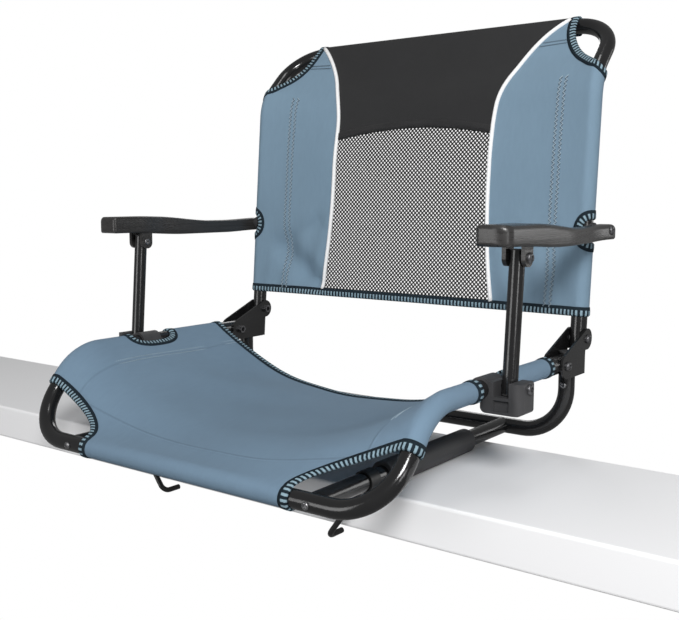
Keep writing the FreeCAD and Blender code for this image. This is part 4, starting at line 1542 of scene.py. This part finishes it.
@dataclass
class Armrest:
    """Moulded armrest: a dished bar with a broad raised front, hollow below, and two ears for the post."""

    layout: Layout
    front_y: float = 0.139
    rear_y: float = 0.4296
    top: float = 0.262
    bottom: float = 0.241
    front_rise: float = 0.0045
    top_fall: Ramp = Ramp(0.057, 0.135)
    bottom_fall: Ramp = Ramp(0.017, 0.115)
    dish: float = 0.0034
    dish_start: Ramp = Ramp(0.077, 0.115)
    dish_end: Ramp = Ramp(0.212, 0.075)
    dish_fill: float = 0.6
    rear_rise: float = 0.002
    rear_start: Ramp = Ramp(0.212, 0.07)
    inner_x: float = 0.2675
    paddle_x: float = 0.2615
    paddle_end: Ramp = Ramp(0.037, 0.06)
    outer_x: float = 0.2975
    waist_x: float = 0.2862
    waist_start: Ramp = Ramp(0.137, 0.105)
    waist_end: Ramp = Ramp(0.247, 0.04)
    waist_fill: float = 0.25
    nose_round: float = 0.0125
    edge_round: float = 0.0030
    crown_round: float = 0.0065
    least_round: float = 0.0006
    end_round: float = 0.0045
    corner_points: int = 7
    end_points: int = 7
    nose_stations: int = 12
    bar_stations: int = 64
    wall: float = 0.0032
    wall_draft: float = 0.0005
    hollow: float = 0.011
    hollow_front: float = 0.014
    hollow_rear: float = 0.036
    under_normal: float = -0.9
    under_area: float = 1e-5
    post_x: float = 0.278
    ear_inside: float = 0.00835
    ear_thickness: float = 0.0045
    ear_half: float = 0.0088
    ear_drop: float = 0.0090
    ear_round: float = 0.0078
    ear_steps: int = 8
    sharp: float = math.radians(38.0)
    nearly: float = 1e-6

    def top_at(self, back: float) -> float:
        """Height of the upper face, raised in front and dished behind, at a length behind the front."""
        dish = self.dish_start.at(back) * (1 - self.dish_fill * self.dish_end.at(back))
        return self.top + self.front_rise * (1 - self.top_fall.at(back)) - self.dish * dish

    def bottom_at(self, back: float) -> float:
        """Height of the lower rim at a length behind the front."""
        front = self.front_rise * (1 - self.bottom_fall.at(back))
        return self.bottom + front + self.rear_rise * self.rear_start.at(back)

    def inner_at(self, back: float) -> float:
        """Distance of the inner side from the middle plane at a length behind the front."""
        return self.paddle_x + (self.inner_x - self.paddle_x) * self.paddle_end.at(back)

    def outer_at(self, back: float) -> float:
        """Distance of the outer side: a rounded corner, a broad front and a waist behind."""
        nose = max(0.0, 1 - back / self.nose_round)
        cut = self.nose_round * (1 - math.sqrt(1 - nose ** 2))
        waist = self.waist_start.at(back) * (1 - self.waist_fill * self.waist_end.at(back))
        return self.outer_x - cut - (self.outer_x - self.waist_x) * waist

    def ring(self, y: float, inset: float, sign: float) -> Points:
        """Rounded section of the bar at one depth, drawn in by an inset."""
        back = y - self.front_y
        sides = {-1: self.inner_at(back) + inset, 1: self.outer_at(back) - inset}
        levels = {-1: self.bottom_at(back) + inset, 1: self.top_at(back) - inset}
        corners = ((-1, -1, self.edge_round), (1, -1, self.edge_round), (1, 1, self.crown_round),
                   (-1, 1, self.edge_round))
        points = []
        for number, (aside, up, round_off) in enumerate(corners):
            radius = max(self.least_round, round_off - inset)
            x = sides[aside] - aside * radius
            z = levels[up] - up * radius
            start = math.pi + number * QUARTER
            points += [self.layout.spot(sign * (x + radius * math.cos(turn)), y, z + radius * math.sin(turn))
                       for turn in spread(start, start + QUARTER, self.corner_points)]
        return points

    def stations(self) -> list[tuple[float, float]]:
        """Depth and inset of each section, with both ends rounded."""
        radius = self.end_round
        turns = spread(0.0, QUARTER, self.end_points)
        ends = [(radius * (1 - math.cos(turn)), radius * (1 - math.sin(turn))) for turn in turns]
        front = [(self.front_y + step, inset) for step, inset in ends]
        rear = [(self.rear_y - step, inset) for step, inset in reversed(ends)]
        nose_end = self.front_y + self.nose_round
        depths = spread(self.front_y + radius, nose_end, self.nose_stations)[1:-1]
        depths += spread(nose_end, self.rear_y - radius, self.bar_stations)[:-1]
        return front + [(y, 0.0) for y in depths] + rear

    def hollow_out(self, mesh: Mesh) -> None:
        """Sinks the bar's underside inside a rim."""
        mesh.normal_update()
        first = self.layout.spot(0, self.front_y + self.hollow_front, 0).y
        last = self.layout.spot(0, self.rear_y - self.hollow_rear, 0).y
        under = [face for face in mesh.faces
                 if face.normal.z < self.under_normal and first < face.calc_center_median().y < last
                 and len(face.verts) == 4 and face.calc_area() > self.under_area]
        bmesh.ops.inset_region(mesh, faces=under, thickness=self.wall, use_even_offset=True)
        bmesh.ops.inset_region(mesh, faces=under, thickness=self.wall_draft, depth=-self.hollow,
                               use_even_offset=True)

    def add_ear(self, mesh: Mesh, x: float, axle: Vector) -> None:
        """Adds one ear with a rounded lower end.

        Args:
            mesh: the mesh that takes it.
            x: the middle of its thickness.
            axle: a point on the axis of the post's upper pin.
        """
        top = self.layout.spot(0, 0, self.top - self.crown_round).z
        low = axle.z - self.ear_drop
        verts = bmesh.ops.create_cube(mesh, size=1.0)["verts"]
        bmesh.ops.scale(mesh, vec=Vector((self.ear_thickness, 2 * self.ear_half, top - low)), verts=verts)
        bmesh.ops.translate(mesh, vec=Vector((x, axle.y, (top + low) / 2)), verts=verts)
        under = [edge for edge in {edge for vert in verts for edge in vert.link_edges}
                 if max(vert.co.z for vert in edge.verts) < low + self.nearly
                 and abs(edge.verts[0].co.x - edge.verts[1].co.x) > self.ear_thickness / 2]
        bmesh.ops.bevel(mesh, geom=under, offset=self.ear_round, segments=self.ear_steps, profile=0.5,
                        affect="EDGES", material=-1)

    def build(self, finishes: Finishes) -> None:
        """Builds both armrests."""
        for side, sign in SIDES.items():
            rings = [self.ring(y, inset, sign) for y, inset in self.stations()]
            sweep = Sweep()
            sweep.add(rings, [0.0] * len(rings[0]))
            mesh = outward(sweep.mesh)
            self.hollow_out(mesh)
            low, high = (Vector(corner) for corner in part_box(f"{side}_ear_pin"))
            for way in SIDES.values():
                x = sign * (self.post_x + way * (self.ear_inside + self.ear_thickness / 2))
                self.add_ear(mesh, x, (low + high) / 2)
            mesh.normal_update()
            for edge in mesh.edges:
                edge.smooth = edge.calc_face_angle(0.0) < self.sharp
            make_piece(f"{side}_armrest_shell", mesh, finishes.arm_plastic, f"{side}_arm",
                       [f"{side}_armrest"])


# Stage


@dataclass(frozen=True)
class Lamp:
    """Soft square lamp, placed from the front bar and the bench."""

    name: str
    place: tuple[float, float, float]
    size: float
    power: float

    def build(self, layout: Layout, target: Vector) -> None:
        """Adds the lamp, facing a target."""
        data = bpy.data.lights.new(self.name, "AREA")
        data.size = self.size
        data.energy = self.power
        lamp = bpy.data.objects.new(self.name, data)
        lamp.location = layout.spot(*self.place)
        lamp.rotation_euler = (target - lamp.location).to_track_quat("-Z", "Y").to_euler()
        bpy.context.scene.collection.objects.link(lamp)


@dataclass
class Studio:
    """Pale floor with a front edge under the feet, soft lamps, a pale surround and the camera."""

    layout: Layout
    floor_front: float = 0.096
    floor_thickness: float = 0.044
    floor_half: float = 2.5
    floor_depth: float = 0.243
    floor_edge: float = 0.003
    floor_edge_steps: int = 3
    floor_roughness: float = 0.8
    floor_colour: Colour = tone(0.90, 0.90, 0.91)
    lamps: tuple[Lamp, ...] = (Lamp("key", (1.15, -1.01, 1.1), 0.5, 29.0),
                               Lamp("fill", (-0.66, -1.63, 0.26), 0.9, 8.0),
                               Lamp("glint", (1.6, -0.56, 0.3), 0.4, 2.2),
                               Lamp("edge", (1.5, 1.99, 0.5), 0.8, 5.0),
                               Lamp("top", (0.3, 0.19, 1.9), 0.4, 3.0),
                               Lamp("rear", (-1.2, 2.2, 1.3), 0.8, 6.0))
    lamp_target: tuple[float, float, float] = (0.0, 0.24, 0.2)
    world_light: float = 0.23
    camera_place: tuple[float, float, float] = (0.701, -0.653, 0.293)
    azimuth: float = math.radians(37.18)
    pitch: float = math.radians(6.873)
    focal_pixels: float = 942.0
    frame_width: float = 679.0
    sensor: float = 36.0

    def floor(self) -> None:
        """Builds the floor slab."""
        mesh = bmesh.new()
        bmesh.ops.create_cube(mesh, size=1.0)
        bmesh.ops.scale(mesh, vec=Vector((2 * self.floor_half, self.floor_depth, self.floor_thickness)),
                        verts=mesh.verts)
        middle = self.layout.spot(0, self.floor_front + self.floor_depth / 2, -self.floor_thickness / 2)
        bmesh.ops.translate(mesh, vec=middle, verts=mesh.verts)
        bmesh.ops.bevel(mesh, geom=list(mesh.edges), offset=self.floor_edge, segments=self.floor_edge_steps,
                        profile=0.5, affect="EDGES", material=-1)
        material = Shader("pale_floor").finish(Base_Color=self.floor_colour,
                                               Roughness=self.floor_roughness)
        make_object("floor", mesh, material)

    def surround(self) -> None:
        """Lights the world softly and shows it white to the camera."""
        world = bpy.data.worlds.new("studio")
        bpy.context.scene.world = world
        world.use_nodes = True
        tree = world.node_tree
        tree.nodes.clear()
        output = tree.nodes.new("ShaderNodeOutputWorld")
        mix = tree.nodes.new("ShaderNodeMixShader")
        path = tree.nodes.new("ShaderNodeLightPath")
        for socket, strength in ((1, self.world_light), (2, 1.0)):
            light = tree.nodes.new("ShaderNodeBackground")
            light.inputs["Color"].default_value = tone(1.0, 1.0, 1.0)
            light.inputs["Strength"].default_value = strength
            tree.links.new(light.outputs[0], mix.inputs[socket])
        tree.links.new(path.outputs["Is Camera Ray"], mix.inputs["Fac"])
        tree.links.new(mix.outputs[0], output.inputs["Surface"])

    def camera(self) -> None:
        """Adds the camera at the photograph's angle."""
        data = bpy.data.cameras.new("camera")
        data.sensor_width = self.sensor
        data.sensor_fit = "HORIZONTAL"
        data.lens = self.focal_pixels / self.frame_width * self.sensor
        camera = bpy.data.objects.new("camera", data)
        camera.location = self.layout.spot(*self.camera_place)
        camera.rotation_euler = Euler((QUARTER - self.pitch, 0, self.azimuth), "XYZ")
        bpy.context.scene.collection.objects.link(camera)
        bpy.context.scene.camera = camera

    def build(self) -> None:
        """Sets up floor, light and camera."""
        self.floor()
        target = self.layout.spot(*self.lamp_target)
        for lamp in self.lamps:
            lamp.build(self.layout, target)
        self.surround()
        self.camera()
        bpy.context.scene.view_settings.view_transform = "Standard"


def main() -> None:
    """Builds the dressed seat in order."""
    logging.basicConfig(level=logging.INFO, format="%(name)s: %(message)s")
    layout = Layout()
    finishes = Finishes()
    finishes.dress_nodes()
    trim = Trim()
    SeatSling(layout, trim).build(finishes)
    BackSling(layout, trim).build(finishes)
    Armrest(layout).build(finishes)
    Fasteners(finishes).build()
    Studio(layout).build()


if __name__ == "__main__":
    main()
